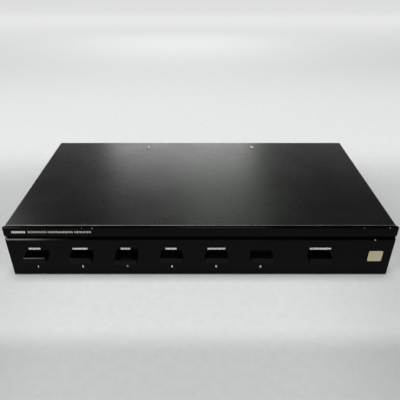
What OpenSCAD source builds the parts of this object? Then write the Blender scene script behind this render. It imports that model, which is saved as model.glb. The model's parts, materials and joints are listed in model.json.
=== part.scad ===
// Speaker selector switch: a component-width steel case with a moulded front panel, six push-on
// push-off speaker buttons, a seventh button for the amplifier protection, and screw terminals behind.
// Millimetres. +X is the right-hand side as seen from the front, the front faces -Y and +Z is up.
// The origin is on the surface that the feet stand on, under the middle of the overall width and depth.

/* [Case] */
// Width of the front panel
panel_w = 432; // [420:1:440]
// Height of the front panel
panel_h = 64.6; // [63:0.1:70]
// Gap between the surface and the front panel's lower edge
panel_ground_gap = 1.5; // [1:0.1:3]
// Depth from the front panel's face to the rear panel's outer face
case_d = 227; // [210:1:260]
// How far the front panel runs past the cover's sides at each end
panel_overhang = 1.5; // [1:0.5:6]
// How far the top cover stands above the front panel's upper edge
cover_step = 1.1; // [0.8:0.1:2]
// Thickness of the top cover's sheet
cover_t = 1; // [0.8:0.1:1.5]
// Thickness of the tray's sheet and of the two upright panels
sheet_t = 1.2; // [1:0.1:1.6]
// Height of the tray's upturned sides
tray_side_h = 14; // [12:1:20]
// Reach of the upright panels' lower lips along the tray's floor
floor_lip_d = 7; // [6.5:0.5:8]
// Reach of the subpanel's upper lip under the cover
sub_top_lip_d = 9; // [6:1:14]
// Reach of the rear panel's upper lip under the cover
rear_top_lip_d = 26; // [24:1:40]
// Fitting gap between folded sheets
sheet_fit = 0.2; // [0.1:0.05:0.4]

/* [Front panel moulding] */
// Thickness of the rim that shows in front of the cover
rim_d = 4.5; // [4:0.1:6]
// Wall behind the flat face
panel_wall = 3; // [2.4:0.1:3.4]
// Reach of the moulding's rear lip into the case
lip_d = 3.5; // [3:0.1:5]
// Gap between the rear lip and the cover
lip_fit = 0.5; // [0.3:0.1:1]
// Rounding of the panel's long front edges
panel_edge_r = 1.3; // [0.8:0.1:2]
// Rounding of the panel's front edges at its ends
panel_end_r = 1.6; // [0.8:0.1:2.5]
// Height of the flat band above the groove
band_h = 10.7; // [9:0.1:12]
// Height of the groove's mouth
groove_h = 5.4; // [5:0.1:7]
// Depth of the groove
groove_d = 3.6; // [2.5:0.1:4]
// Rise of the ledge that slopes up to the back of the groove
ledge_rise = 2.6; // [1:0.1:3.5]
// Thickness of the solid bar behind the groove, above and below it
groove_backing = 3; // [2:0.5:3]
// Thickness of the stiffening ribs
rib_t = 1.6; // [1.2:0.1:2]
// Wall round each button opening
collar_t = 1.6; // [1.2:0.1:2]

/* [Buttons] */
// Speaker buttons in the row
button_count = 6; // [6:6]
// Distance between speaker buttons
button_pitch = 50.8; // [45:0.1:51]
// Distance from the panel's left end to the middle of the first speaker button
first_button_inset = 31; // [28:0.5:32]
// Distance from the last speaker button to the protection button
protection_space = 65.5; // [45:0.5:70]
// Height of the buttons' middle above the surface
button_z = 27.1; // [26:0.1:28]
// Width of a button cap
cap_w = 24; // [20:0.5:28]
// Height of a button cap
cap_h = 6; // [5.5:0.1:7]
// Free space between a fully pressed cap and the subpanel
cap_rear_clear = 0.7; // [0.4:0.1:1.5]
// Rounding of a cap's front edges
cap_edge_r = 1; // [0.5:0.1:1.5]
// Rounding of a cap's four long edges
cap_corner_r = 0.7; // [0.4:0.1:1]
// Gap between a cap and its opening
cap_gap = 0.8; // [0.5:0.1:1]
// How far a cap stands out of the panel when it is off
cap_out = 10.8; // [9:0.1:12]
// How much deeper a cap stays when it is on
latch_travel = 3; // [2.5:0.1:3.5]
// How much further a cap goes before it latches or lets go
over_travel = 0.6; // [0.4:0.1:1]
// Which buttons are on: speakers 1 to 6, then protection
pressed = [true, true, false, true, true, true, true];

/* [Switches] */
// Width of a switch housing
switch_w = 14; // [13:0.5:16]
// Height of a switch housing
switch_h = 14; // [13:0.5:15]
// Length of a switch housing
switch_l = 32; // [28:1:36]
// Place of the housings' front face behind the panel's face
switch_y = 16; // [15.5:0.5:18]
// Wall of a switch housing in front of its slider
switch_wall = 2; // [1.5:0.1:2.5]
// Width of a slider
slider_w = 9; // [8:0.5:9.5]
// Height of a slider
slider_h = 7.4; // [7:0.1:8]
// Length of a slider
slider_l = 14; // [13:0.5:15]
// Width of the square stem that the cap is pressed onto
stem_w = 3.2; // [2.8:0.1:3.3]
// Gap round a stem where it passes through the subpanel
stem_gap = 0.3; // [0.2:0.05:0.35]
// Length of the stem inside the cap
stem_grip = 8; // [6:0.5:9]
// Running gap between the slider or stem and the housing
slide_gap = 0.2; // [0.15:0.05:0.3]
// Gap between the stem and the cap's socket
socket_gap = 0.05; // [0.02:0.01:0.1]
// Outer radius of a return spring
spring_r = 2.4; // [2:0.1:2.5]
// Wire thickness of a return spring
spring_wire = 0.6; // [0.4:0.1:0.8]
// Length of a return spring when its button is fully pressed
spring_l = 12; // [11:0.5:12]
// Space left behind a slider when its button is fully pressed
rear_clear = 2; // [1.5:0.1:3]
// Radius of a contact pin
pin_r = 0.5; // [0.4:0.1:0.6]
// Length of a contact pin below its part
pin_l = 3.4; // [3:0.1:4]
// Distance between the contact pins along a housing
pin_pitch = 10; // [8:1:12]
// Distance between a housing's two rows of contact pins
pin_row = 8; // [6:1:10]
// Gap round a contact pin in the board
pin_gap = 0.1; // [0.05:0.05:0.2]

/* [Circuit board] */
// Thickness of the circuit board
board_t = 1.6; // [1.2:0.1:2]
// Free space between the circuit board and the tray's sides
board_side_gap = 7.9; // [5:0.1:10]
// Place of the board's front edge behind the panel's face
board_y = 14; // [13:0.5:15]
// Depth of the circuit board
board_d = 62; // [60:1:70]
// Distance from the board's edges to its screws
board_inset = 6; // [5:0.5:7]
// Free space between the front standoffs and the subpanel's lower lip
standoff_clear = 2.8; // [2:0.1:4]
// Radius of a standoff
standoff_r = 3; // [2.8:0.1:3.5]
// Radius of a board screw's shank
board_screw_r = 1.25; // [1:0.05:1.5]
// Radius of a board screw's head
board_head_r = 2.5; // [2.2:0.1:2.8]
// Length of a board screw's shank below the board
board_screw_grip = 5; // [3:0.5:8]
// Length of a protection resistor
resistor_l = 22; // [20:1:24]
// Width and height of a protection resistor
resistor_t = 9; // [8:0.5:10]
// Free space round the resistors
resistor_space = 3; // [2:0.5:4]
// Protection resistors in the row behind the switches
resistor_count = 4; // [2:1:6]

/* [Terminals] */
// Terminal strips: the amplifier's and one for each speaker pair
strip_count = 7; // [7:7]
// Distance from the ends of the rear panel to the outer terminal strips
strip_end_space = 23.3; // [16:0.1:30]
// Free space between two terminal strips
strip_gap = 5; // [2:0.5:12]
// Height of a terminal strip
strip_h = 19; // [18:1:24]
// Thickness of a terminal strip
strip_t = 5; // [4:0.5:7]
// Height of the terminal strips' middle above the surface
strip_z = 32; // [30:1:36]
// Terminals on a strip
pole_count = 4; // [4:4]
// Distance from a strip's ends to its screws
strip_inset = 3.2; // [3:0.1:3.6]
// Free space between two terminal plates
plate_gap = 2.1; // [1.5:0.1:3]
// Free space between the outer terminal plates and the heads of the strip's screws
plate_end_gap = 1.05; // [0.8:0.05:2]
// Height of a terminal plate
plate_h = 15; // [14:0.5:16]
// Thickness of a terminal plate
plate_t = 1; // [0.8:0.1:1.2]
// Width of the lug that passes into the case
lug_w = 4; // [3:0.5:5]
// Thickness of the lug
lug_t = 0.8; // [0.6:0.1:1]
// Reach of the lug inside the rear panel
lug_reach = 9; // [6:1:12]
// Height of the lug above the strip's middle
lug_rise = 5; // [4.5:0.1:5.5]
// Free space between the lugs and their window in the rear panel
window_gap = 2; // [1:0.1:2.2]
// Drop of the terminal screw below the strip's middle
terminal_drop = 2; // [1.5:0.1:3]
// Radius of a terminal screw's head
terminal_head_r = 3.2; // [3:0.1:3.5]
// Height of a terminal screw's head
terminal_head_h = 2.2; // [1.8:0.1:3]
// Radius of a terminal screw's shank
terminal_r = 1.75; // [1.5:0.05:2]
// Depth of a terminal screw's thread in its strip
terminal_grip = 4; // [2.5:0.5:4]
// Radius of a link wire over its insulation
wire_r = 0.9; // [0.6:0.1:1.2]
// Bend radius of a link wire where it turns down to the board
wire_bend_r = 6; // [4:0.5:8]
// Distance from the board's rear edge to the link wires
wire_inset = 11; // [10:0.5:12]

/* [Screws and feet] */
// Radius of a case screw's shank
screw_r = 1.5; // [1.2:0.1:1.6]
// Radius of a case screw's head
screw_head_r = 2.8; // [2.6:0.1:3.2]
// Height of a case screw's head
screw_head_h = 1.6; // [1.2:0.1:1.8]
// Length of thread that shows past the sheet a screw is driven into
screw_tail = 2.5; // [1.5:0.5:3]
// Gap round a screw in its thread
thread_gap = 0.05; // [0.02:0.01:0.1]
// Gap round a screw in a plain hole
hole_gap = 0.3; // [0.2:0.05:0.5]
// Distance from the middle to each screw in the cover's top
top_screw_x = 77; // [60:1:100]
// Distance from the rear edge to the screws in the cover's top
top_screw_inset = 17; // [12:1:20]
// Height of the cover's side screws above the tray's underside
side_screw_rise = 8; // [6:0.5:9]
// Distance from each end of the case to the cover's side screws
side_screw_inset = 45; // [40:1:60]
// Distance from the ends of the panels' lower lips to the outer chassis screws
chassis_screw_inset = 61.9; // [55:0.1:70]
// Distance from the ends of the moulding's rear lip to the outer front panel screws
panel_screw_inset = 18; // [12:0.5:20]
// Height of the lower front panel screws above the panel's lower edge
panel_screw_low = 9.5; // [9:0.5:12]
// Distance of the upper front panel screws below the panel's upper edge
panel_screw_high = 4.9; // [4.7:0.1:5.2]
// Depth of a front panel screw in its boss
panel_screw_grip = 4.4; // [3.5:0.1:4.4]
// Radius of a screw boss on the front panel
boss_r = 3.4; // [3:0.1:4]
// Radius of a foot
foot_r = 10; // [8:0.5:12]
// Height of a foot
foot_h = 4.5; // [4.5:0.1:6]
// How much narrower a foot is at the surface
foot_taper = 0.8; // [0:0.1:1.5]
// Depth of the recess that hides a foot's screw
foot_recess_d = 2.4; // [2.2:0.1:3]
// Distance from the sides of the cover to the feet
foot_inset_x = 34.5; // [30:0.5:50]
// Distance from the ends of the case to the feet
foot_inset_y = 30; // [30:1:45]

/* [Hidden] */
BUTTONS = ["1", "2", "3", "4", "5", "6", "protection"];
STRIPS = ["amplifier", "speaker_1", "speaker_2", "speaker_3", "speaker_4", "speaker_5", "speaker_6"];
FEET = ["front_left", "front_right", "rear_left", "rear_right"];
$fn = 48;
// Overshoot that keeps a cut clear of the face it goes through
cut = 1;
// A screw head's crown, and its recess's width and reach, as shares of the head's radius
head_crown = 0.82;
recess_width = 0.25;
recess_reach = 1.2;

// Case levels, upwards from the surface
panel_top_z = panel_ground_gap + panel_h;
cover_top_z = panel_top_z + cover_step;
floor_z = foot_h + sheet_t;
roof_z = cover_top_z - cover_t;
groove_top_z = panel_top_z - band_h;
groove_low_z = groove_top_z - groove_h;
board_top_z = button_z - switch_h / 2;
lug_z = strip_z + lug_rise;

// Depths behind the front panel's face
sub_y = rim_d + lip_d;
inner_y = sub_y + sheet_t;
rear_y = case_d - sheet_t;
slider_y = switch_y + switch_wall + slide_gap;
full_travel = latch_travel + over_travel;
cap_l = cap_out + sub_y - full_travel - cap_rear_clear;
chamber_l = slide_gap + slider_l + full_travel + rear_clear;
plunger_bore_d = spring_l + slide_gap - rear_clear;
board_row = [inner_y + floor_lip_d + standoff_clear + standoff_r, board_y + board_d - board_inset];
wire_y = board_y + board_d - wire_inset;
lug_y = rear_y - lug_reach;
plate_y = case_d + strip_t;
rear_out = strip_t + plate_t + terminal_head_h;
front_y = (cap_out - case_d - rear_out) / 2;

// Widths and places across the case
cover_w = panel_w - 2 * panel_overhang;
tray_w = cover_w - 2 * (cover_t + sheet_fit);
lip_w = tray_w - 2 * (sheet_t + sheet_fit);
mould_lip_w = cover_w - 2 * (cover_t + lip_fit);
board_w = lip_w - 2 * board_side_gap;
first_button_x = first_button_inset - panel_w / 2;
protection_x = first_button_x + (button_count - 1) * button_pitch + protection_space;
chassis_screw_x = lip_w / 2 - chassis_screw_inset;
panel_screw_x = mould_lip_w / 2 - panel_screw_inset;
opening_w = cap_w + 2 * cap_gap;
opening_h = cap_h + 2 * cap_gap;
chassis_screw_xs = [-chassis_screw_x, 0, chassis_screw_x];
chassis_screw_ys = [inner_y + floor_lip_d / 2, rear_y - floor_lip_d / 2];
panel_screw_xs = [-panel_screw_x, 0, panel_screw_x];
panel_screw_zs = [panel_ground_gap + panel_screw_low, panel_top_z - panel_screw_high];
strip_w = (tray_w - 2 * strip_end_space - (strip_count - 1) * strip_gap) / strip_count;
strip_pitch = strip_w + strip_gap;
plates_w = strip_w - 2 * (strip_inset + screw_head_r + plate_end_gap);
plate_w = (plates_w - (pole_count - 1) * plate_gap) / pole_count;
pole_pitch = plate_w + plate_gap;
foot_xs = [-cover_w / 2 + foot_inset_x, cover_w / 2 - foot_inset_x];
foot_ys = [foot_inset_y, case_d - foot_inset_y];
side_screw_ys = [side_screw_inset, case_d - side_screw_inset];
standoff_xs = [
    -board_w / 2 + board_inset, button_x(2) + button_pitch / 2,
    button_x(5) + button_pitch / 2, board_w / 2 - board_inset
];

function button_x(i) = i < button_count ? first_button_x + i * button_pitch : protection_x;
function sunk(i) = pressed[i] ? latch_travel : 0;
function strip_x(i) = (i - (strip_count - 1) / 2) * strip_pitch;
function pole_x(i, j) = strip_x(i) + (j - (pole_count - 1) / 2) * pole_pitch;
function resistor_places() = [
    for (k = [0 : resistor_count - 1]) [
        (k - (resistor_count - 1) / 2) * (resistor_l + resistor_space),
        switch_y + switch_l + resistor_space + resistor_t / 2
    ]
];
function resistor_pins() = [
    for (place = resistor_places()) for (side = [-1, 1])
        place + [side * (resistor_l / 2 - resistor_t / 4), 0]
];
function switch_pins(x) = [
    for (row = [-1, 1]) for (k = [0, 1, 2])
        [x + row * pin_row / 2, switch_y + switch_l / 2 + (k - 1) * pin_pitch]
];

// ---- shared shapes -------------------------------------------------------------------------------

// Places its children behind the front panel's face
module from_face() translate([0, front_y, 0]) children();

// A rectangle from 0 to d across, with its two corners at 0 rounded
module front_round_2d(d, h, r) {
    translate([r, -h / 2]) square([d - r, h]);
    translate([0, -h / 2 + r]) square([d, h - 2 * r]);
    for (side = [-1, 1]) translate([r, side * (h / 2 - r)]) circle(r);
}

// A rectangle with four rounded corners, about its middle
module round_rect_2d(w, h, r) {
    square([w - 2 * r, h], center = true);
    square([w, h - 2 * r], center = true);
    for (sx = [-1, 1]) for (sy = [-1, 1]) translate([sx * (w / 2 - r), sy * (h / 2 - r)]) circle(r);
}

// Extrudes a (depth, height) outline along X, about the middle
module along_x(w) rotate([90, 0, 90]) linear_extrude(w, center = true) children();

// A box about x = 0 and z = 0 that runs back from y = 0
module bar(w, d, h) translate([-w / 2, 0, -h / 2]) cube([w, d, h]);

// A flat sheet about x = 0 from one (y, z) corner to the other
module sheet(w, y0, y1, z0, z1) translate([-w / 2, y0, z0]) cube([w, y1 - y0, z1 - z0]);

// A hole or rod along +Y that starts at y = 0
module rod_y(r, l) rotate([-90, 0, 0]) cylinder(r = r, h = l);

// A screw with a cross recess: its head sits on z = 0 and its shank points down
module screw(shank_r, shank_l, head_r, head_h) {
    difference() {
        union() {
            cylinder(r1 = head_r, r2 = head_r * head_crown, h = head_h);
            translate([0, 0, -shank_l]) cylinder(r = shank_r, h = shank_l);
        }
        for (turn = [0, 90]) rotate([0, 0, turn]) translate([0, 0, head_h])
            cube([head_r * recess_reach, head_r * recess_width, head_h], center = true);
    }
}

module case_screw(shank_l) color("#3a3a3c") screw(screw_r, shank_l, screw_head_r, screw_head_h);

// ---- front panel ---------------------------------------------------------------------------------

// The groove across the panel, with its sloping ledge
module groove_2d()
    polygon([
        [-cut, groove_low_z], [0, groove_low_z], [groove_d, groove_low_z + ledge_rise],
        [groove_d, groove_top_z], [-cut, groove_top_z]
    ]);

// The outside of the moulding: the rim with rounded front edges, and the lip that goes into the case
module panel_outside() {
    intersection() {
        translate([0, 0, panel_ground_gap + panel_h / 2]) along_x(panel_w)
            front_round_2d(rim_d, panel_h, panel_edge_r);
        translate([0, 0, panel_ground_gap - cut]) rotate([0, 0, 90]) linear_extrude(panel_h + 2 * cut)
            front_round_2d(rim_d, panel_w, panel_end_r);
    }
    sheet(mould_lip_w, rim_d - cut, sub_y, foot_h, roof_z - lip_fit);
}

// The hollows behind the face, between the ribs, collars and screw bosses
module panel_hollows() {
    low_z = foot_h + panel_wall;
    hollow_w = mould_lip_w - 2 * panel_wall;
    difference() {
        union() {
            sheet(hollow_w, panel_wall, sub_y + cut, low_z, groove_low_z - groove_backing);
            sheet(hollow_w, panel_wall, sub_y + cut, groove_top_z + groove_backing,
                roof_z - lip_fit - panel_wall);
        }
        for (x = [first_button_x : button_pitch / 2 : mould_lip_w / 2 - panel_wall])
            translate([x, 0, panel_ground_gap + panel_h / 2]) bar(rib_t, sub_y + 2 * cut, panel_h);
        for (i = [0 : button_count]) translate([button_x(i), 0, button_z])
            bar(opening_w + 2 * collar_t, sub_y + 2 * cut, opening_h + 2 * collar_t);
        for (x = panel_screw_xs) for (z = panel_screw_zs)
            translate([x, 0, z]) rod_y(boss_r, sub_y + 2 * cut);
    }
}

module front_panel() color("#0c0d0c") from_face() difference() {
    panel_outside();
    along_x(panel_w + 2 * cut) groove_2d();
    panel_hollows();
    for (i = [0 : button_count]) translate([button_x(i), -cut, button_z])
        bar(opening_w, sub_y + 2 * cut, opening_h);
    for (x = panel_screw_xs) for (z = panel_screw_zs)
        translate([x, sub_y - panel_screw_grip - thread_gap, z])
            rod_y(screw_r + thread_gap, panel_screw_grip + cut);
}

module front_panel_screws() from_face()
    for (x = panel_screw_xs) for (z = panel_screw_zs)
        translate([x, inner_y, z]) rotate([-90, 0, 0]) case_screw(sheet_t + panel_screw_grip);

// ---- case ----------------------------------------------------------------------------------------

// Plate behind the moulding, with a lip along the floor and one under the cover
module front_subpanel() color("#9a9d9c") from_face() difference() {
    union() {
        sheet(tray_w, sub_y, inner_y, floor_z, roof_z - sheet_fit);
        sheet(lip_w, sub_y, inner_y + floor_lip_d, floor_z, floor_z + sheet_t);
        sheet(lip_w, sub_y, inner_y + sub_top_lip_d, roof_z - sheet_fit - sheet_t, roof_z - sheet_fit);
    }
    for (i = [0 : button_count]) translate([button_x(i), sub_y - cut, button_z])
        bar(stem_w + 2 * stem_gap, sheet_t + 2 * cut, stem_w + 2 * stem_gap);
    for (x = panel_screw_xs) for (z = panel_screw_zs)
        translate([x, sub_y - cut, z]) rod_y(screw_r + hole_gap, sheet_t + 2 * cut);
    for (x = chassis_screw_xs) translate([x, chassis_screw_ys[0], floor_z - cut])
        cylinder(r = screw_r + thread_gap, h = sheet_t + 2 * cut);
}

// Floor of the case, with upturned sides that the cover is screwed to
module base_tray() color("#8f9291") from_face() difference() {
    union() {
        sheet(tray_w, sub_y, case_d, foot_h, floor_z);
        for (side = [-1, 1]) translate([side * (tray_w - sheet_t) / 2, 0, 0])
            sheet(sheet_t, inner_y + sheet_fit, rear_y - sheet_fit, foot_h, foot_h + tray_side_h);
    }
    for (x = chassis_screw_xs) for (y = chassis_screw_ys) translate([x, y, foot_h - cut])
        cylinder(r = screw_r + hole_gap, h = sheet_t + 2 * cut);
    for (x = foot_xs) for (y = foot_ys) translate([x, y, foot_h - cut])
        cylinder(r = screw_r + thread_gap, h = sheet_t + 2 * cut);
    for (side = [-1, 1]) for (y = side_screw_ys)
        translate([side * tray_w / 2, y, foot_h + side_screw_rise]) rotate([0, 90, 0])
            cylinder(r = screw_r + thread_gap, h = 4 * sheet_t, center = true);
}

// Plate that closes the back, with a window for each strip's lugs
module rear_panel() color("#161617") from_face() difference() {
    union() {
        sheet(tray_w, rear_y, case_d, floor_z, roof_z - sheet_fit);
        sheet(lip_w, rear_y - floor_lip_d, case_d, floor_z, floor_z + sheet_t);
        sheet(lip_w, rear_y - rear_top_lip_d, case_d, roof_z - sheet_fit - sheet_t, roof_z - sheet_fit);
    }
    for (i = [0 : strip_count - 1]) {
        translate([strip_x(i), rear_y - cut, lug_z])
            bar(
                (pole_count - 1) * pole_pitch + lug_w + 2 * window_gap,
                sheet_t + 2 * cut, lug_t + 2 * window_gap
            );
        for (side = [-1, 1])
            translate([strip_x(i) + side * (strip_w / 2 - strip_inset), rear_y - cut, strip_z])
                rod_y(screw_r + thread_gap, sheet_t + 2 * cut);
    }
    for (x = chassis_screw_xs) translate([x, chassis_screw_ys[1], floor_z - cut])
        cylinder(r = screw_r + thread_gap, h = sheet_t + 2 * cut);
    for (side = [-1, 1]) translate([side * top_screw_x, case_d - top_screw_inset, roof_z - 3 * cut])
        cylinder(r = screw_r + thread_gap, h = 4 * cut);
}

// Top and both sides in one folded sheet
module top_cover() color("#232324") from_face() difference() {
    sheet(cover_w, rim_d, case_d, foot_h, cover_top_z);
    sheet(cover_w - 2 * cover_t, rim_d - cut, case_d + cut, foot_h - cut, roof_z);
    for (side = [-1, 1]) {
        translate([side * top_screw_x, case_d - top_screw_inset, roof_z - cut])
            cylinder(r = screw_r + hole_gap, h = cover_t + 2 * cut);
        for (y = side_screw_ys) translate([side * cover_w / 2, y, foot_h + side_screw_rise])
            rotate([0, 90, 0]) cylinder(r = screw_r + hole_gap, h = 4 * cover_t, center = true);
    }
}

module cover_top_screws() from_face()
    for (side = [-1, 1]) translate([side * top_screw_x, case_d - top_screw_inset, cover_top_z])
        color("#c9c8c0")
            screw(screw_r, cover_t + sheet_fit + sheet_t + screw_tail, screw_head_r, screw_head_h);

module cover_side_screws() from_face()
    for (side = [-1, 1]) for (y = side_screw_ys)
        translate([side * cover_w / 2, y, foot_h + side_screw_rise]) rotate([0, side * 90, 0])
            case_screw(cover_t + sheet_fit + sheet_t + screw_tail);

module chassis_screws() from_face()
    for (x = chassis_screw_xs) for (y = chassis_screw_ys) translate([x, y, foot_h])
        rotate([180, 0, 0]) case_screw(2 * sheet_t + screw_tail);

// ---- feet ----------------------------------------------------------------------------------------

module foot(x, y) color("#1b1b1b") from_face() translate([x, y, 0]) difference() {
    cylinder(r1 = foot_r - foot_taper, r2 = foot_r, h = foot_h);
    translate([0, 0, -cut]) cylinder(r = screw_head_r + hole_gap, h = foot_recess_d + cut);
    cylinder(r = screw_r + hole_gap, h = foot_h + cut);
}

module foot_screws() from_face()
    for (x = foot_xs) for (y = foot_ys) translate([x, y, foot_recess_d]) rotate([180, 0, 0])
        case_screw(foot_h - foot_recess_d + sheet_t + screw_tail);

// ---- board ---------------------------------------------------------------------------------------

module switch_board() color("#2f6b3a") from_face() difference() {
    sheet(board_w, board_y, board_y + board_d, board_top_z - board_t, board_top_z);
    for (x = standoff_xs) for (y = board_row) translate([x, y, board_top_z - board_t - cut])
        cylinder(r = board_screw_r + hole_gap, h = board_t + 2 * cut);
    for (i = [0 : button_count]) for (pin = switch_pins(button_x(i)))
        translate([pin[0], pin[1], board_top_z - board_t - cut])
            cylinder(r = pin_r + pin_gap, h = board_t + 2 * cut, $fn = 24);
    for (pin = resistor_pins()) translate([pin[0], pin[1], board_top_z - board_t - cut])
        cylinder(r = pin_r + pin_gap, h = board_t + 2 * cut, $fn = 24);
}

module board_standoffs() color("#c2c3bf") from_face()
    for (x = standoff_xs) for (y = board_row) translate([x, y, floor_z]) difference() {
        cylinder(r = standoff_r, h = board_top_z - board_t - floor_z);
        translate([0, 0, -cut])
            cylinder(r = board_screw_r + thread_gap, h = board_top_z - board_t - floor_z + 2 * cut);
    }

module board_screws() color("#c9c8c0") from_face()
    for (x = standoff_xs) for (y = board_row) translate([x, y, board_top_z])
        screw(board_screw_r, board_t + board_screw_grip, board_head_r, screw_head_h);

module protection_resistors() color("#d9d2c0") from_face() {
    for (place = resistor_places()) translate([place[0], place[1], board_top_z])
        translate([-resistor_l / 2, -resistor_t / 2, 0]) cube([resistor_l, resistor_t, resistor_t]);
    for (pin = resistor_pins()) translate([pin[0], pin[1], board_top_z - pin_l])
        cylinder(r = pin_r, h = pin_l + cut, $fn = 24);
}

// ---- one switch: cap, plunger, housing and spring ------------------------------------------------

// Cap with rounded front edges and a square socket for the stem
module button_cap(i) color("#141414") from_face()
    translate([button_x(i), sunk(i) - cap_out, button_z]) difference() {
        intersection() {
            along_x(cap_w) front_round_2d(cap_l, cap_h, cap_edge_r);
            rotate([0, 0, 90]) linear_extrude(cap_h, center = true)
                front_round_2d(cap_l, cap_w, cap_edge_r);
            translate([0, cap_l, 0]) rotate([90, 0, 0]) linear_extrude(cap_l)
                round_rect_2d(cap_w, cap_h, cap_corner_r);
        }
        translate([0, cap_l - stem_grip - socket_gap, 0])
            bar(stem_w + 2 * socket_gap, stem_grip + cut, stem_w + 2 * socket_gap);
    }

// Stem and slider in one piece; the slider's bore takes in the spring
module plunger(i) color("#e4e2da") from_face()
    translate([button_x(i), slider_y + sunk(i), button_z]) difference() {
        stem_l = slider_y - (cap_l - cap_out) + stem_grip;
        union() {
            translate([0, -stem_l, 0]) bar(stem_w, stem_l + cut, stem_w);
            bar(slider_w, slider_l, slider_h);
        }
        translate([0, slider_l - plunger_bore_d, 0]) rod_y(spring_r + slide_gap, plunger_bore_d + cut);
    }

// Housing with its sliding chamber and its contact pins
module switch_housing(i) color("#2b2d33") from_face() {
    difference() {
        translate([button_x(i), switch_y, button_z]) bar(switch_w, switch_l, switch_h);
        translate([button_x(i), switch_y + switch_wall, button_z])
            bar(slider_w + 2 * slide_gap, chamber_l, slider_h + 2 * slide_gap);
        translate([button_x(i), switch_y - cut, button_z])
            bar(stem_w + 2 * slide_gap, switch_wall + 2 * cut, stem_w + 2 * slide_gap);
    }
    for (pin = switch_pins(button_x(i))) translate([pin[0], pin[1], board_top_z - pin_l])
        cylinder(r = pin_r, h = pin_l + cut, $fn = 24);
}

// Return spring, at the length it is pressed to, against the chamber's rear wall
module return_spring(i) color("#b9bab8") from_face()
    translate([button_x(i), switch_y + switch_wall + chamber_l - spring_l, button_z]) difference() {
        rod_y(spring_r, spring_l);
        translate([0, -cut, 0]) rod_y(spring_r - spring_wire, spring_l + 2 * cut);
    }

// ---- terminals -----------------------------------------------------------------------------------

// Insulating strip with a threaded hole and a lug slot for each terminal
module terminal_strip(i) color("#1d1a17") from_face() difference() {
    translate([strip_x(i), case_d, strip_z]) bar(strip_w, strip_t, strip_h);
    for (j = [0 : pole_count - 1]) {
        translate([pole_x(i, j), case_d + strip_t - terminal_grip - thread_gap, strip_z - terminal_drop])
            rod_y(terminal_r + thread_gap, terminal_grip + cut);
        translate([pole_x(i, j), case_d - cut, lug_z])
            bar(lug_w + 2 * sheet_fit, strip_t + 2 * cut, lug_t + 2 * sheet_fit);
    }
    for (side = [-1, 1])
        translate([strip_x(i) + side * (strip_w / 2 - strip_inset), case_d - cut, strip_z])
            rod_y(screw_r + hole_gap, strip_t + 2 * cut);
}

module strip_screws() from_face()
    for (i = [0 : strip_count - 1]) for (side = [-1, 1])
        translate([strip_x(i) + side * (strip_w / 2 - strip_inset), case_d + strip_t, strip_z])
            rotate([-90, 0, 0]) case_screw(strip_t + sheet_t + screw_tail);

module terminal_plates() color("#c8a24a") from_face()
    for (i = [0 : strip_count - 1]) for (j = [0 : pole_count - 1]) difference() {
        union() {
            translate([pole_x(i, j), plate_y, strip_z]) bar(plate_w, plate_t, plate_h);
            translate([pole_x(i, j), lug_y, lug_z]) bar(lug_w, plate_y - lug_y + plate_t / 2, lug_t);
        }
        translate([pole_x(i, j), plate_y - cut, strip_z - terminal_drop])
            rod_y(terminal_r + hole_gap, plate_t + 2 * cut);
    }

module terminal_screws() color("#c9c8c0") from_face()
    for (i = [0 : strip_count - 1]) for (j = [0 : pole_count - 1])
        translate([pole_x(i, j), plate_y + plate_t, strip_z - terminal_drop]) rotate([-90, 0, 0])
            screw(terminal_r, plate_t + terminal_grip, terminal_head_r, terminal_head_h);

// Insulated wires from the lugs to the rear of the switch board
module link_wires() color("#a33a2a") from_face()
    for (i = [0 : strip_count - 1]) for (j = [0 : pole_count - 1]) translate([pole_x(i, j), wire_y, 0]) {
        translate([0, wire_bend_r, lug_z]) rod_y(wire_r, lug_y - wire_y - wire_bend_r);
        translate([0, wire_bend_r, lug_z - wire_bend_r]) rotate([90, 0, 90]) rotate([0, 0, 90])
            rotate_extrude(angle = 90) translate([wire_bend_r, 0]) circle(wire_r);
        translate([0, 0, board_top_z]) cylinder(r = wire_r, h = lug_z - wire_bend_r - board_top_z);
    }

// ---- assembly ------------------------------------------------------------------------------------

front_panel();
front_subpanel();
base_tray();
rear_panel();
top_cover();
for (k = [0 : 3])
    foot(foot_xs[k % 2], foot_ys[floor(k / 2)]);
foot_screws();
cover_top_screws();
cover_side_screws();
chassis_screws();
front_panel_screws();
switch_board();
board_standoffs();
board_screws();
protection_resistors();
link_wires();
for (i = [0 : button_count]) {
    button_cap(i);
    plunger(i);
    switch_housing(i);
    return_spring(i);
}
for (i = [0 : strip_count - 1])
    terminal_strip(i);
strip_screws();
terminal_plates();
terminal_screws();
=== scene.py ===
"""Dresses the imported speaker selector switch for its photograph.

A component-width steel case with a polished black front moulding, seven push buttons and, behind,
seven terminal strips. Lengths are in millimetres where the name ends in _mm or the class says so, and
in metres elsewhere. +X is right as seen from the front, the front faces -Y and +Z is up.
"""

from __future__ import annotations

import json
import logging
import math
from dataclasses import dataclass
from enum import Enum
from typing import Callable, Iterable, Sequence

import bmesh
import bpy
from mathutils import Matrix, Vector

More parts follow.
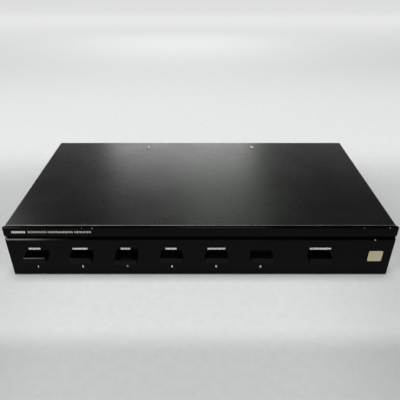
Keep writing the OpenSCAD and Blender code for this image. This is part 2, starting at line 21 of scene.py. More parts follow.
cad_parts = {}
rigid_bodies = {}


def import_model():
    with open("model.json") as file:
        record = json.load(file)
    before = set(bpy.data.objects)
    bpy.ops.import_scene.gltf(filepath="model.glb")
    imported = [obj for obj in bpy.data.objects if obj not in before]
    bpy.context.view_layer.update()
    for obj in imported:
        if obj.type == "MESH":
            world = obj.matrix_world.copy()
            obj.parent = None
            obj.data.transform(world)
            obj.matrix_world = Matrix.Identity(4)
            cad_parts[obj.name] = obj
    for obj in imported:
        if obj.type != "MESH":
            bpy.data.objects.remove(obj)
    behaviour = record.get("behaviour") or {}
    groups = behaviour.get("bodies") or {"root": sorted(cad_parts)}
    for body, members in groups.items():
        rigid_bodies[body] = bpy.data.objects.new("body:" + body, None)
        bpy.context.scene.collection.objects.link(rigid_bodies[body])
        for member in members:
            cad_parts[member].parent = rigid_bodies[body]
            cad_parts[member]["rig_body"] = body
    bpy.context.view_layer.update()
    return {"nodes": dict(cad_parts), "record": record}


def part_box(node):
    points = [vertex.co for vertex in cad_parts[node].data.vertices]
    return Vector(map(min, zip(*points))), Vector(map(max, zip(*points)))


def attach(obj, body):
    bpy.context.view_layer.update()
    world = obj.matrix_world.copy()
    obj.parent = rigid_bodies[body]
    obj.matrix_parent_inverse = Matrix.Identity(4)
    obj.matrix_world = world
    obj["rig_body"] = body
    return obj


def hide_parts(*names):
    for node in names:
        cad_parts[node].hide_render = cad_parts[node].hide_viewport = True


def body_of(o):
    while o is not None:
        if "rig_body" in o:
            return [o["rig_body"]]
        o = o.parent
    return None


LOG = logging.getLogger("selector")
MM = 0.001
CASE = "case"
BUTTONS = ("1", "2", "3", "4", "5", "6", "protection")
STRIPS = ("amplifier", "speaker_1", "speaker_2", "speaker_3", "speaker_4", "speaker_5", "speaker_6")
FEET = ("front_left", "front_right", "rear_left", "rear_right")

Pair = tuple[float, float]
Point = tuple[float, float, float]
Mesh = bpy.types.Mesh
Tree = bpy.types.NodeTree
Socket = bpy.types.NodeSocket

SHARP = math.radians(50.0)  # edges with a larger angle than this are rounded and shaded sharp

# Places in millimetres from the front's face that more than one sub-assembly needs.
REAR_FACE = 227.0
FRONT_SCREWS = tuple((x, z) for x in (-195.0, 0.0, 195.0) for z in (11.0, 61.2))
TOP_SCREWS = ((-77.0, 210.0), (77.0, 210.0))
SIDE_SCREWS = ((45.0, 12.5), (182.0, 12.5))
SIDE_X = 214.5
STRIP_X = tuple(55.0 * k for k in range(-3, 4))
POLE_X = (-14.25, -4.75, 4.75, 14.25)

NODES: dict[str, bpy.types.Object] = {}  # the CAD nodes, once the frame is loaded


# ---- colours and nodes ----


def linear(code: str) -> tuple[float, float, float, float]:
    """Turns an sRGB hex colour into linear RGBA.

    Args:
        code: Six hex digits after a hash sign.

    Returns:
        Red, green, blue and alpha as Blender's sockets take them.
    """
    parts = [int(code[i : i + 2], 16) / 255 for i in (1, 3, 5)]
    red, green, blue = (c / 12.92 if c <= 0.04045 else ((c + 0.055) / 1.055) ** 2.4 for c in parts)
    return red, green, blue, 1.0


def find_socket(sockets: Sequence[Socket], key: str | int) -> Socket:
    """Finds a socket by its number, its identifier or else its name.

    Args:
        sockets: A node's inputs or outputs.
        key: Which one is wanted.

    Returns:
        The socket.
    """
    if isinstance(key, int):
        return sockets[key]
    return next((s for s in sockets if s.identifier == key), None) or sockets[key]


def add_node(
    tree: Tree,
    kind: str,
    settings: dict[str, object] | None = None,
    links: dict[str | int, object] | None = None,
) -> bpy.types.Node:
    """Adds a node with its settings, values and links.

    Args:
        tree: The tree that the node goes into.
        kind: The node's type, such as "ShaderNodeTexNoise".
        settings: Properties of the node itself, by name.
        links: A value or an output socket for each input, by number, identifier or name.

    Returns:
        The new node.
    """
    node = tree.nodes.new(kind)
    for name, value in (settings or {}).items():
        setattr(node, name, value)
    for name, value in (links or {}).items():
        socket = find_socket(node.inputs, name)
        if isinstance(value, Socket):
            tree.links.new(value, socket)
        else:
            socket.default_value = value
    return node


def per_metre(size_mm: float) -> float:
    """Gives the pattern scale at which one cell is size_mm wide on Object coordinates."""
    return 1000.0 / size_mm


def blank_material(name: str) -> bpy.types.Material:
    """Makes a material whose tree is still empty.

    Args:
        name: The material's plain name.

    Returns:
        The material.
    """
    made = bpy.data.materials.new(name)
    made.use_nodes = True
    made.node_tree.nodes.clear()
    return made


# ---- finishes ----


class Relief(Enum):
    """How the fine relief of a surface was made."""

    MOULDED = "moulded"
    SPRAYED = "sprayed"
    ROLLED = "rolled"
    SPANGLED = "spangled"
    GRAINED = "grained"


@dataclass(frozen=True)
class Finish:
    """One surface finish: what it is made of, and the pattern that its making leaves.

    Attributes:
        name: The material's plain name.
        colour: Main sRGB colour.
        shade: Second sRGB colour, which the pattern mixes in.
        roughness: Mean roughness.
        spread: How much the pattern changes the roughness.
        metallic: 1 for bare metal, 0 for the rest.
        ior: Refractive index of a non-metal.
        specular: Blender's specular level, 0.5 for the plain IOR.
        relief: How the fine relief was made.
        grain_mm: Width of one grain of the fine relief.
        patch_mm: Width of the larger patches of uneven gloss.
        bump_mm: Height of the fine relief.
        tint: How much of the second colour shows.
    """

    name: str
    colour: str
    shade: str
    roughness: float
    spread: float = 0.05
    metallic: float = 0.0
    ior: float = 1.5
    specular: float = 0.5
    relief: Relief = Relief.MOULDED
    grain_mm: float = 0.5
    patch_mm: float = 30.0
    bump_mm: float = 0.01
    tint: float = 0.5

    def grain(self, tree: Tree, place: Socket) -> Socket:
        """Draws the fine relief.

        Args:
            tree: The material's tree.
            place: Object coordinates.

        Returns:
            The relief's height, from 0 to 1.
        """
        scale = per_metre(self.grain_mm)
        if self.relief is Relief.SPANGLED:
            cells = add_node(tree, "ShaderNodeTexVoronoi", links={"Vector": place, "Scale": scale})
            return add_node(tree, "ShaderNodeRGBToBW", links={0: cells.outputs["Color"]}).outputs[0]
        if self.relief is Relief.GRAINED:
            cells = add_node(tree, "ShaderNodeTexVoronoi", {"feature": "SMOOTH_F1"},
                             {"Vector": place, "Scale": scale, "Smoothness": 0.6})
            return cells.outputs["Distance"]
        if self.relief is Relief.ROLLED:
            place = add_node(tree, "ShaderNodeMapping", links={
                "Vector": place, "Scale": (0.06, 1.0, 1.0)}).outputs[0]
        detail = 3.0 if self.relief is Relief.SPRAYED else 1.5
        return add_node(tree, "ShaderNodeTexNoise", links={
            "Vector": place, "Scale": scale, "Detail": detail, "Roughness": 0.55}).outputs["Fac"]

    def marks(
        self, tree: Tree, place: Socket, shader: bpy.types.Node
    ) -> None:
        """Adds the marks that only one finish has. A plain finish has none."""

    def material(self) -> bpy.types.Material:
        """Builds the material once, and gives it back on later calls.

        Returns:
            The Blender material.
        """
        known = bpy.data.materials.get(self.name)
        if known is not None:
            return known
        made = blank_material(self.name)
        tree = made.node_tree
        place = add_node(tree, "ShaderNodeTexCoord").outputs["Object"]
        height = self.grain(tree, place)
        patches = add_node(tree, "ShaderNodeTexNoise", links={
            "Vector": place, "Scale": per_metre(self.patch_mm), "Detail": 4.0,
            "Roughness": 0.6}).outputs["Fac"]
        even, fine, rough = (
            add_node(tree, "ShaderNodeMapRange", links={
                "Value": value, "From Min": 0.5 - reach, "From Max": 0.5 + reach,
                "To Min": middle - swing, "To Max": middle + swing}).outputs[0]
            for value, reach, middle, swing in (
                (patches, 0.2, 0.5 * self.tint, 0.5 * self.tint),
                (height, 0.25, 0.0, 0.5 * self.tint),
                (patches, 0.2, self.roughness, self.spread)))
        both = add_node(tree, "ShaderNodeMath", {"operation": "ADD", "use_clamp": True},
                        {0: even, 1: fine}).outputs[0]
        colour = add_node(tree, "ShaderNodeMix", {"data_type": "RGBA"}, {
            "Factor_Float": both, "A_Color": linear(self.colour), "B_Color": linear(self.shade)})
        bump = add_node(tree, "ShaderNodeBump", links={
            "Height": height, "Strength": 1.0, "Distance": self.bump_mm * MM})
        shader = add_node(tree, "ShaderNodeBsdfPrincipled", links={
            "Base Color": find_socket(colour.outputs, "Result_Color"),
            "Roughness": rough, "Metallic": self.metallic, "IOR": self.ior,
            "Specular IOR Level": self.specular, "Normal": bump.outputs["Normal"]})
        self.marks(tree, place, shader)
        add_node(tree, "ShaderNodeOutputMaterial", links={"Surface": shader.outputs[0]})
        return made


@dataclass(frozen=True)
class NickedFinish(Finish):
    """A polished moulding whose edges have been knocked here and there.

    Attributes:
        nicks: Middle in the part's frame and radius in millimetres of each nick.
        bare_and_highlight: sRGB colour of the plastic where it is bruised.
    """

    nicks: tuple[tuple[Point, float], ...] = ()
    bare_and_highlight: str = "#8d8f8a"

    def marks(
        self, tree: Tree, place: Socket, shader: bpy.types.Node
    ) -> None:
        """Draws the nicks as ragged pale spots.

        Args:
            tree: The material's tree.
            place: Object coordinates.
            shader: The Principled node whose colour and roughness they change.
        """
        wobble = add_node(tree, "ShaderNodeTexNoise", links={
            "Vector": place, "Scale": per_metre(0.7), "Detail": 2.0}).outputs["Fac"]
        total: Socket | float = 0.0
        for middle, radius_mm in self.nicks:
            radius = radius_mm * MM
            far = add_node(tree, "ShaderNodeVectorMath", {"operation": "DISTANCE"},
                           {0: place, 1: tuple(c * MM for c in middle)}).outputs["Value"]
            ragged = add_node(tree, "ShaderNodeMath", {"operation": "MULTIPLY_ADD"}, {
                0: wobble, 1: 1.4 * radius, 2: far}).outputs[0]
            spot = add_node(tree, "ShaderNodeMapRange", links={
                "Value": ragged, "From Min": 1.7 * radius, "From Max": 1.2 * radius}).outputs[0]
            total = add_node(tree, "ShaderNodeMath", {"operation": "MAXIMUM"},
                             {0: total, 1: spot}).outputs[0]
        for name, kind, tag, value in (
            ("Base Color", "RGBA", "Color", linear(self.bare_and_highlight)),
            ("Roughness", "FLOAT", "Float", 0.7),
        ):
            before = shader.inputs[name].links[0].from_socket
            mixed = add_node(tree, "ShaderNodeMix", {"data_type": kind}, {
                "Factor_Float": total, f"A_{tag}": before, f"B_{tag}": value})
            tree.links.new(find_socket(mixed.outputs, f"Result_{tag}"), shader.inputs[name])


@dataclass(frozen=True)
class PaintedEdgeHighlightFinish(Finish):
    """Paint on sheet metal, with a painted highlight along the cut edge at the front: a pale strip in
    patches, brighter towards the left.

    Attributes:
        edge_y: Where the front edge is, in millimetres.
        edge_mm: How far the painted highlight strip reaches back from it.
        bare_and_highlight: sRGB colour of the painted highlight strip.
        highlight_patch_mm: Width of the patches in which the painted highlight is stronger or weaker.
    """

    edge_y: float = 0.0
    edge_mm: float = 0.35
    bare_and_highlight: str = "#928e86"
    highlight_patch_mm: float = 38.0

    def marks(
        self, tree: Tree, place: Socket, shader: bpy.types.Node
    ) -> None:
        """Draws the painted highlight along the front edge: a pale strip, strongest at the left (-X)
        and fading to about a third at the right, in patches.

        Args:
            tree: The material's tree.
            place: Object coordinates.
            shader: The Principled node whose colour it changes.
        """
        across, along, _ = add_node(tree, "ShaderNodeSeparateXYZ", links={0: place}).outputs
        highlight_patches = add_node(tree, "ShaderNodeTexNoise", links={
            "Vector": place, "Scale": per_metre(self.highlight_patch_mm), "Detail": 5.0,
            "Roughness": 0.65}).outputs["Fac"]
        share: Socket | float = 1.0
        # Painted highlight: a pale strip only along the front edge, full at the left, down to about a
        # third at the right, in patches.
        for value, start, end, low, high in (
                (highlight_patches, 0.35, 0.65, 0.45, 1.0), (across, -0.13, 0.1, 1.0, 0.36),
                (along, (self.edge_y + self.edge_mm) * MM, (self.edge_y + 0.5 * self.edge_mm) * MM,
                 0.0, 1.0)):
            ramp = add_node(tree, "ShaderNodeMapRange", links={
                "Value": value, "From Min": start, "From Max": end, "To Min": low, "To Max": high})
            share = add_node(tree, "ShaderNodeMath", {"operation": "MULTIPLY"},
                             {0: share, 1: ramp.outputs[0]}).outputs[0]
        before = shader.inputs["Base Color"].links[0].from_socket
        mixed = add_node(tree, "ShaderNodeMix", {"data_type": "RGBA"}, {
            "Factor_Float": share, "A_Color": before, "B_Color": linear(self.bare_and_highlight)})
        tree.links.new(find_socket(mixed.outputs, "Result_Color"), shader.inputs["Base Color"])


# Finish of each of the record's material slots.
FINISHES: dict[str, Finish] = {
    # Polished black ABS: near-black with a hard gloss, faint flow marks and a few bruised edges.
    "panel_gloss": NickedFinish(
        "polished_black_abs", "#020202", "#040404", 0.13, 0.03, ior=1.52, specular=0.07,
        grain_mm=2.4, patch_mm=45.0, bump_mm=0.004, tint=0.4,
        nicks=(
            ((193.1, -112.2, 50.1), 0.8), ((-129.0, -112.0, 66.0), 0.5),
            ((-117.7, -112.0, 66.0), 0.7), ((178.4, -111.6, 66.1), 0.6),
            ((206.0, -111.4, 66.1), 0.8), ((173.6, -111.9, 2.2), 0.6),
        )),
    # Moulded black ABS, less polished than the front, so its edges carry a broader glint.
    "cap_gloss": Finish(
        "satin_black_abs", "#020202", "#050505", 0.16, 0.04, ior=1.52, specular=0.09,
        grain_mm=0.6, patch_mm=9.0, bump_mm=0.006),
    # Powder coat on steel: charcoal, with a fine orange peel that breaks up the highlight, and a
    # painted highlight along its front edge that is brighter at the left.
    "cover_paint": PaintedEdgeHighlightFinish(
        "black_powder_coat", "#0b0b0a", "#12120f", 0.27, 0.03,
        relief=Relief.SPRAYED, grain_mm=0.9, patch_mm=60.0, bump_mm=0.02, edge_y=-107.7),
    # Thinner satin paint on the rear panel.
    "panel_paint": Finish(
        "satin_black_paint", "#161617", "#1f1f1e", 0.42, 0.06, specular=0.4,
        relief=Relief.SPRAYED, grain_mm=0.6, patch_mm=35.0, bump_mm=0.015),
    # Galvanised sheet: bare zinc whose crystals show as dull and bright flakes.
    "zinc_steel": Finish(
        "galvanised_sheet", "#a9adad", "#8b8f90", 0.38, 0.08, metallic=1.0,
        relief=Relief.SPANGLED, grain_mm=5.0, patch_mm=40.0, bump_mm=0.002, tint=0.7),
    # Black oxide on steel screws: dark, slightly blue and half glossy.
    "black_screws": Finish(
        "black_oxide_steel", "#2b2c2f", "#3a3b3e", 0.36, 0.08, metallic=1.0,
        grain_mm=0.3, patch_mm=3.0, bump_mm=0.004),
    # Nickel plate: bright and faintly warm.
    "bright_screws": Finish(
        "nickel_plate", "#cfcdc4", "#b3b1a8", 0.27, 0.08, metallic=1.0,
        grain_mm=0.3, patch_mm=3.0, bump_mm=0.004),
    # Moulded rubber: matt, with a fine spark-eroded grain.
    "foot_rubber": Finish(
        "moulded_rubber", "#191919", "#232321", 0.78, 0.08, ior=1.52,
        relief=Relief.GRAINED, grain_mm=0.5, patch_mm=8.0, bump_mm=0.03),
    # Solder mask over glass laminate: semi-gloss green, with the weave just showing.
    "board_laminate": Finish(
        "green_solder_mask", "#2f6b3a", "#255730", 0.34, 0.06, ior=1.55,
        relief=Relief.ROLLED, grain_mm=1.2, patch_mm=14.0, bump_mm=0.01),
    # Unglazed ceramic: chalky and pitted.
    "resistor_ceramic": Finish(
        "unglazed_ceramic", "#d9d2c0", "#c6bda8", 0.85, 0.05, ior=1.55,
        relief=Relief.GRAINED, grain_mm=0.6, patch_mm=6.0, bump_mm=0.04),
    # Soft vinyl wire insulation.
    "wire_insulation": Finish(
        "soft_vinyl", "#a33a2a", "#8e2f22", 0.45, 0.08, ior=1.53,
        grain_mm=0.8, patch_mm=12.0, bump_mm=0.01),
    # Acetal: waxy and slightly translucent white.
    "slider_acetal": Finish(
        "natural_acetal", "#e4e2da", "#d6d3c8", 0.38, 0.05, ior=1.48,
        grain_mm=0.8, patch_mm=6.0, bump_mm=0.005),
    # Glass-filled housing plastic.
    "housing_plastic": Finish(
        "glass_filled_nylon", "#2b2d33", "#34373e", 0.55, 0.08, ior=1.53,
        relief=Relief.ROLLED, grain_mm=0.5, patch_mm=8.0, bump_mm=0.015),
    # Drawn spring wire.
    "spring_steel": Finish(
        "drawn_spring_wire", "#b9bab8", "#9a9b99", 0.3, 0.06, metallic=1.0,
        grain_mm=0.2, patch_mm=3.0, bump_mm=0.003),
    # Pressed phenolic: brown-black with a fine cloudy filler.
    "strip_phenolic": Finish(
        "pressed_phenolic", "#1d1a17", "#2a2420", 0.45, 0.08, ior=1.6,
        relief=Relief.GRAINED, grain_mm=0.7, patch_mm=7.0, bump_mm=0.015),
    # Bare brass, a little dulled by handling.
    "terminal_brass": Finish(
        "bare_brass", "#c8a24a", "#a98436", 0.3, 0.1, metallic=1.0,
        relief=Relief.ROLLED, grain_mm=0.3, patch_mm=4.0, bump_mm=0.004),
}
# White screen-printing ink, slightly uneven where it covers less.
INK = Finish(
    "white_printing_ink", "#e2e2dc", "#cfcfc8", 0.55, 0.06,
    relief=Relief.GRAINED, grain_mm=0.4, patch_mm=2.0, bump_mm=0.004, tint=0.6)
# Anodised aluminium with a brushed face, champagne coloured.
BADGE = Finish(
    "champagne_anodised_aluminium", "#b8af92", "#a69d80", 0.42, 0.06, metallic=0.35,
    relief=Relief.ROLLED, grain_mm=0.25, patch_mm=5.0, bump_mm=0.006, tint=0.6)


# ---- mesh work ----


def to_object(name: str, mesh: Mesh) -> bpy.types.Object:
    """Puts a mesh into the scene as an object at the origin.

    Args:
        name: The object's name.
        mesh: Its mesh.

    Returns:
        The object.
    """
    made = bpy.data.objects.new(name, mesh)
    bpy.context.scene.collection.objects.link(made)
    return made


def from_bmesh(work: bmesh.types.BMesh) -> Mesh:
    """Turns a bmesh into a smooth-shaded mesh whose faces point outwards.

    Args:
        work: The bmesh, which is freed.

    Returns:
        The mesh.
    """
    bmesh.ops.remove_doubles(work, verts=work.verts, dist=1e-7)
    bmesh.ops.recalc_face_normals(work, faces=work.faces)
    for face in work.faces:
        face.smooth = True
    mesh = bpy.data.meshes.new("mesh")
    work.to_mesh(mesh)
    work.free()
    return mesh


def flatten(mesh: Mesh, gap: float, flat: float) -> Mesh:
    """Merges a mesh's doubles and the faces of its flat regions, and shades it smooth.

    Args:
        mesh: The mesh, which is changed in place.
        gap: Points nearer than this are merged, in metres.
        flat: Faces that meet at less than this are merged, in degrees.

    Returns:
        The same mesh.
    """
    work = bmesh.new()
    work.from_mesh(mesh)
    bmesh.ops.remove_doubles(work, verts=work.verts, dist=gap)
    bmesh.ops.dissolve_limit(
        work, angle_limit=math.radians(flat), verts=work.verts, edges=work.edges)
    for face in work.faces:
        face.smooth = True
    work.to_mesh(mesh)
    work.free()
    return mesh


def applied(holder: bpy.types.Object, name: str = "mesh") -> Mesh:
    """Applies an object's modifiers and removes the object.

    Args:
        holder: The object that carries the modifiers.
        name: The result's name.

    Returns:
        The plain mesh.
    """
    graph = bpy.context.evaluated_depsgraph_get()
    made = bpy.data.meshes.new_from_object(
        holder.evaluated_get(graph), preserve_all_data_layers=True, depsgraph=graph)
    made.name = name
    bpy.data.objects.remove(holder)
    return made


def soften(mesh: Mesh, radius_mm: float, steps: int) -> Mesh:
    """Rounds a mesh's sharp edges, with the flats kept flat.

    Args:
        mesh: A closed mesh.
        radius_mm: Width of the rounding.
        steps: Faces across each rounding.

    Returns:
        The new mesh.
    """
    holder = to_object("soften", mesh)
    bevel = holder.modifiers.new("round", "BEVEL")
    bevel.limit_method = "ANGLE"
    bevel.angle_limit = SHARP
    bevel.width = radius_mm * MM
    bevel.segments = steps
    bevel.use_clamp_overlap = False
    bevel.harden_normals = True
    return applied(holder)


def combine(
    base: Mesh, cutters: Iterable[Mesh], operation: str = "DIFFERENCE"
) -> Mesh:
    """Cuts closed meshes out of a mesh, or joins them to it.

    Args:
        base: The mesh that is worked on.
        cutters: The meshes that are taken away or added, in order.
        operation: "DIFFERENCE" or "UNION".

    Returns:
        The new mesh, with flat regions merged and every face smooth.
    """
    holder = to_object("combine", base)
    tools = [to_object(f"cutter_{k}", mesh) for k, mesh in enumerate(cutters)]
    for tool in tools:
        step = holder.modifiers.new("cut", "BOOLEAN")
        step.operation, step.solver, step.object = operation, "EXACT", tool
    made = applied(holder)
    for tool in tools:
        bpy.data.objects.remove(tool)
    return flatten(made, 1e-6, 0.5)


def block(low: Sequence[float], high: Sequence[float]) -> Mesh:
    """Makes a box.

    Args:
        low: Its lowest corner, in metres.
        high: Its highest corner.

    Returns:
        The closed mesh.
    """
    work = bmesh.new()
    low, high = Vector(low), Vector(high)
    place = Matrix.LocRotScale((low + high) / 2, None, high - low)
    bmesh.ops.create_cube(work, size=1.0, matrix=place)
    return from_bmesh(work)


def fillet(corners: Sequence[Point], steps: int = 6) -> list[Pair]:
    """Rounds the corners of a closed flat outline.

    Args:
        corners: Both coordinates of each corner and its radius, in order round the outline.
        steps: Faces across each rounding.

    Returns:
        The outline's points.
    """
    out: list[Pair] = []
    for k, (x, y, radius) in enumerate(corners):
        here = Vector((x, y))
        before = (Vector(corners[k - 1][:2]) - here).normalized()
        after = (Vector(corners[(k + 1) % len(corners)][:2]) - here).normalized()
        half = before.angle(after) / 2
        if radius <= 0 or half > math.radians(89.9):
            out.append((x, y))
            continue
        back = radius / math.tan(half)
        middle = here + (before + after).normalized() * (radius / math.sin(half))
        start, end = here + before * back - middle, here + after * back - middle
        sweep = start.angle_signed(end)
        for step in range(steps + 1):
            turned = start.copy()
            turned.rotate(Matrix.Rotation(-sweep * step / steps, 2))
            out.append(tuple(middle + turned))
    return out


def prism(
    outline: Sequence[Pair], place: Callable[[float, float, float], Point], start: float, end: float
) -> Mesh:
    """Extrudes a flat outline.

    Args:
        outline: The outline's points.
        place: Puts (across, up, along) into the part's frame.
        start: Where the prism starts along its axis.
        end: Where it ends.

    Returns:
        The closed mesh.
    """
    work = bmesh.new()
    rings = [[work.verts.new(place(a, b, t)) for a, b in outline] for t in (start, end)]
    work.faces.new(rings[0])
    work.faces.new(rings[1])
    count = len(outline)
    for k in range(count):
        n = (k + 1) % count
        work.faces.new((rings[0][k], rings[0][n], rings[1][n], rings[1][k]))
    return from_bmesh(work)


def lathe(profile: Sequence[Pair], steps: int) -> Mesh:
    """Turns a profile about Z.

    Args:
        profile: Radius and height of each point in millimetres, from one pole to the other, or a
            closed ring where no point has a radius of 0.
        steps: Faces round the axis.

    Returns:
        The closed mesh.
    """
    work = bmesh.new()
    rings: list[list[bmesh.types.BMVert]] = []
    for radius, height in profile:
        turns = 1 if radius == 0 else steps
        rings.append([
            work.verts.new((radius * MM * math.cos(math.tau * k / turns),
                            radius * MM * math.sin(math.tau * k / turns), height * MM))
            for k in range(turns)])
    ring_count = len(rings) if len(rings[0]) > 1 else len(rings) - 1
    for k in range(ring_count):
        low, high = rings[k], rings[(k + 1) % len(rings)]
        for s in range(steps):
            n = (s + 1) % steps
            corners = [low[s % len(low)], low[n % len(low)], high[n % len(high)], high[s % len(high)]]
            work.faces.new(list(dict.fromkeys(corners)))
    return from_bmesh(work)


def merged_copy(node: str) -> Mesh:
    """Copies a CAD node's mesh with its doubles merged and its flat faces whole."""
    return flatten(NODES[node].data.copy(), 2e-6, 1.0)


def joined(meshes: Iterable[Mesh]) -> Mesh:
    """Joins meshes into one, each a loose part of it.

    Args:
        meshes: The meshes.

    Returns:
        The joined mesh.
    """
    work = bmesh.new()
    for mesh in meshes:
        work.from_mesh(mesh)
    made = bpy.data.meshes.new("mesh")
    work.to_mesh(made)
    work.free()
    return made


def wear(
    name: str, mesh: Mesh, body: str, slot: str, nodes: Sequence[str] = (),
    finish: Finish | None = None,
) -> bpy.types.Object:
    """Makes a finished mesh a piece of the part.

    Args:
        name: The piece's name.
        mesh: Its mesh, in place in the part's frame.
        body: The CAD body that it moves with.
        slot: The record's material slot, or "" for a print or a badge, which has none.
        nodes: The CAD nodes that it stands for.
        finish: Its finish where it isn't the slot's own.

    Returns:
        The piece.
    """
    chosen = finish or FINISHES[slot]
    mesh.materials.clear()
    mesh.materials.append(chosen.material())
    mesh.shade_smooth()
    mesh.set_sharp_from_angle(angle=SHARP)
    holder = to_object("weigh", mesh)
    level = holder.modifiers.new("flats", "WEIGHTED_NORMAL")
    level.keep_sharp = True
    piece = to_object(name, applied(holder, name))
    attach(piece, body)
    if nodes:
        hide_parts(*nodes)
    LOG.info("%s: %d faces, rides on %s", name, len(mesh.polygons), body)
    return piece


# ---- geometry nodes ----


class Pattern:
    """A Geometry Nodes tree with named inputs, which is applied to plain meshes."""

    def __init__(self, name: str, inputs: dict[str, str]) -> None:
        """Starts the tree.

        Args:
            name: The tree's name.
            inputs: Kind of each named input, such as "Float".
        """
        self.tree = bpy.data.node_groups.new(name, "GeometryNodeTree")
        self.tree.interface.new_socket(
            "Geometry", in_out="INPUT", socket_type="NodeSocketGeometry")
        for label, kind in {**inputs, "Material": "Material"}.items():
            self.tree.interface.new_socket(label, in_out="INPUT", socket_type=f"NodeSocket{kind}")
        self.tree.interface.new_socket(
            "Geometry", in_out="OUTPUT", socket_type="NodeSocketGeometry")
        self.given = self.node("NodeGroupInput").outputs

    def node(
        self, kind: str, settings: dict[str, object] | None = None,
        links: dict[str | int, object] | None = None,
    ) -> bpy.types.Node:
        """Adds a node to the tree, as add_node does."""
        return add_node(self.tree, kind, settings, links)

    def close(self, geometry: Socket) -> None:
        """Ends the tree in Realize Instances and Set Material.

        Args:
            geometry: The socket whose geometry is the result.
        """
        whole = self.node("GeometryNodeRealizeInstances", links={0: geometry}).outputs[0]
        worn = self.node("GeometryNodeSetMaterial", links={
            "Geometry": whole, "Material": self.given["Material"]}).outputs[0]
        self.node("NodeGroupOutput", links={0: worn})

    def mesh(
        self, values: dict[str, object], points: Sequence[Sequence[float]] = ((0, 0, 0),),
        path: bool = False,
    ) -> Mesh:
        """Runs the tree.

        Args:
            values: A value for each named input.
            points: The points that the tree starts from, in metres.
            path: Whether an edge joins each point to the next.

        Returns:
            The plain mesh.
        """
        seed_mesh = bpy.data.meshes.new("seed")
        edges = [(k, k + 1) for k in range(len(points) - 1)] if path else []
        seed_mesh.from_pydata([tuple(p) for p in points], edges, [])
        holder = to_object("pattern", seed_mesh)
        step = holder.modifiers.new("pattern", "NODES")
        step.node_group = self.tree
        for item in self.tree.interface.items_tree:
            if item.in_out == "INPUT" and item.name in values:
                step[item.identifier] = values[item.name]
        return applied(holder)


def repeat_pattern() -> Pattern:
    """Builds the tree that repeats one piece at each point, each copy turned by chance.

    Returns:
        The tree.
    """
    made = Pattern("repeat_at_points", {
        "Piece": "Object", "Aim": "Rotation", "Turn": "Float",
        "Seed": "Int"})
    piece = made.node("GeometryNodeObjectInfo", links={"Object": made.given["Piece"]})
    back = made.node("ShaderNodeMath", {"operation": "MULTIPLY"}, {0: made.given["Turn"], 1: -1.0})
    chance = made.node("FunctionNodeRandomValue", {"data_type": "FLOAT"}, {
        "Min_001": back.outputs[0], "Max_001": made.given["Turn"], "Seed": made.given["Seed"]})
    about = made.node("ShaderNodeCombineXYZ", links={"Z": find_socket(chance.outputs, "Value_001")})
    turn = made.node("FunctionNodeEulerToRotation", links={0: about.outputs[0]})
    aimed = made.node("FunctionNodeRotateRotation", {"rotation_space": "LOCAL"}, {
        "Rotation": made.given["Aim"], "Rotate By": turn.outputs[0]})
    copies = made.node("GeometryNodeInstanceOnPoints", links={
        "Points": made.given["Geometry"], "Instance": piece.outputs["Geometry"],
        "Rotation": aimed.outputs[0]})
    made.close(copies.outputs[0])
    return made


def bars_pattern() -> Pattern:
    """Builds the tree that sets out equal bars in a straight row, for ribs and printed dashes.

    Returns:
        The tree.
    """
    made = Pattern("row_of_bars", {
        "Count": "Int", "Start": "Vector", "Step": "Vector",
        "Size": "Vector"})
    line = made.node("GeometryNodeMeshLine", {"mode": "OFFSET", "count_mode": "TOTAL"}, {
        "Count": made.given["Count"], "Start Location": made.given["Start"],
        "Offset": made.given["Step"]})
    bar = made.node("GeometryNodeMeshCube", links={"Size": made.given["Size"]})
    copies = made.node("GeometryNodeInstanceOnPoints", links={
        "Points": line.outputs[0], "Instance": bar.outputs[0]})
    made.close(copies.outputs[0])
    return made


def coil_pattern() -> Pattern:
    """Builds the tree that winds a spring along Z.

    Returns:
        The tree.
    """
    made = Pattern("wound_spring", {
        "Turns": "Float", "Radius": "Float", "Length": "Float",
        "Wire radius": "Float"})
    path = made.node("GeometryNodeCurveSpiral", links={
        "Resolution": 24, "Rotations": made.given["Turns"], "Start Radius": made.given["Radius"],
        "End Radius": made.given["Radius"], "Height": made.given["Length"]})
    wire = made.node("GeometryNodeCurvePrimitiveCircle", {"mode": "RADIUS"}, {
        "Resolution": 8, "Radius": made.given["Wire radius"]})
    tube = made.node("GeometryNodeCurveToMesh", links={
        "Curve": path.outputs[0], "Profile Curve": wire.outputs[0], "Fill Caps": True})
    made.close(tube.outputs[0])
    return made


def fold_pattern() -> Pattern:
    """Builds the tree that folds a sheet along the points it is given, about the Y direction.

    Returns:
        The tree.
    """
    made = Pattern("folded_sheet", {
        "Depth": "Float", "Thickness": "Float",
        "Bend radius": "Float", "Edge radius": "Float"})
    line = made.node("GeometryNodeMeshToCurve", links={0: made.given["Geometry"]})
    bent = made.node("GeometryNodeFilletCurve", {"mode": "POLY"}, {
        "Curve": line.outputs[0], "Count": 8, "Radius": made.given["Bend radius"]})
    level = made.node("GeometryNodeSetCurveNormal", {"mode": "FREE"}, {
        "Curve": bent.outputs[0], "Normal": (0.0, 1.0, 0.0)})
    sheet = made.node("GeometryNodeCurvePrimitiveQuadrilateral", {"mode": "RECTANGLE"}, {
        "Width": made.given["Depth"], "Height": made.given["Thickness"]})
    edge = made.node("GeometryNodeFilletCurve", {"mode": "POLY"}, {
        "Curve": sheet.outputs[0], "Count": 4, "Radius": made.given["Edge radius"]})
    swept = made.node("GeometryNodeCurveToMesh", links={
        "Curve": level.outputs[0], "Profile Curve": edge.outputs[0], "Fill Caps": True})
    smooth = made.node("GeometryNodeSetShadeSmooth", links={0: swept.outputs[0]})
    made.close(smooth.outputs[0])
    return made


# ---- sub-assemblies ----


class Aim(Enum):
    """Which way a screw's head points, as a rotation of +Z."""

    UP = (0.0, 0.0, 0.0)
    DOWN = (math.pi, 0.0, 0.0)
    BACK = (-math.pi / 2, 0.0, 0.0)
    RIGHT = (0.0, math.pi / 2, 0.0)
    LEFT = (0.0, -math.pi / 2, 0.0)


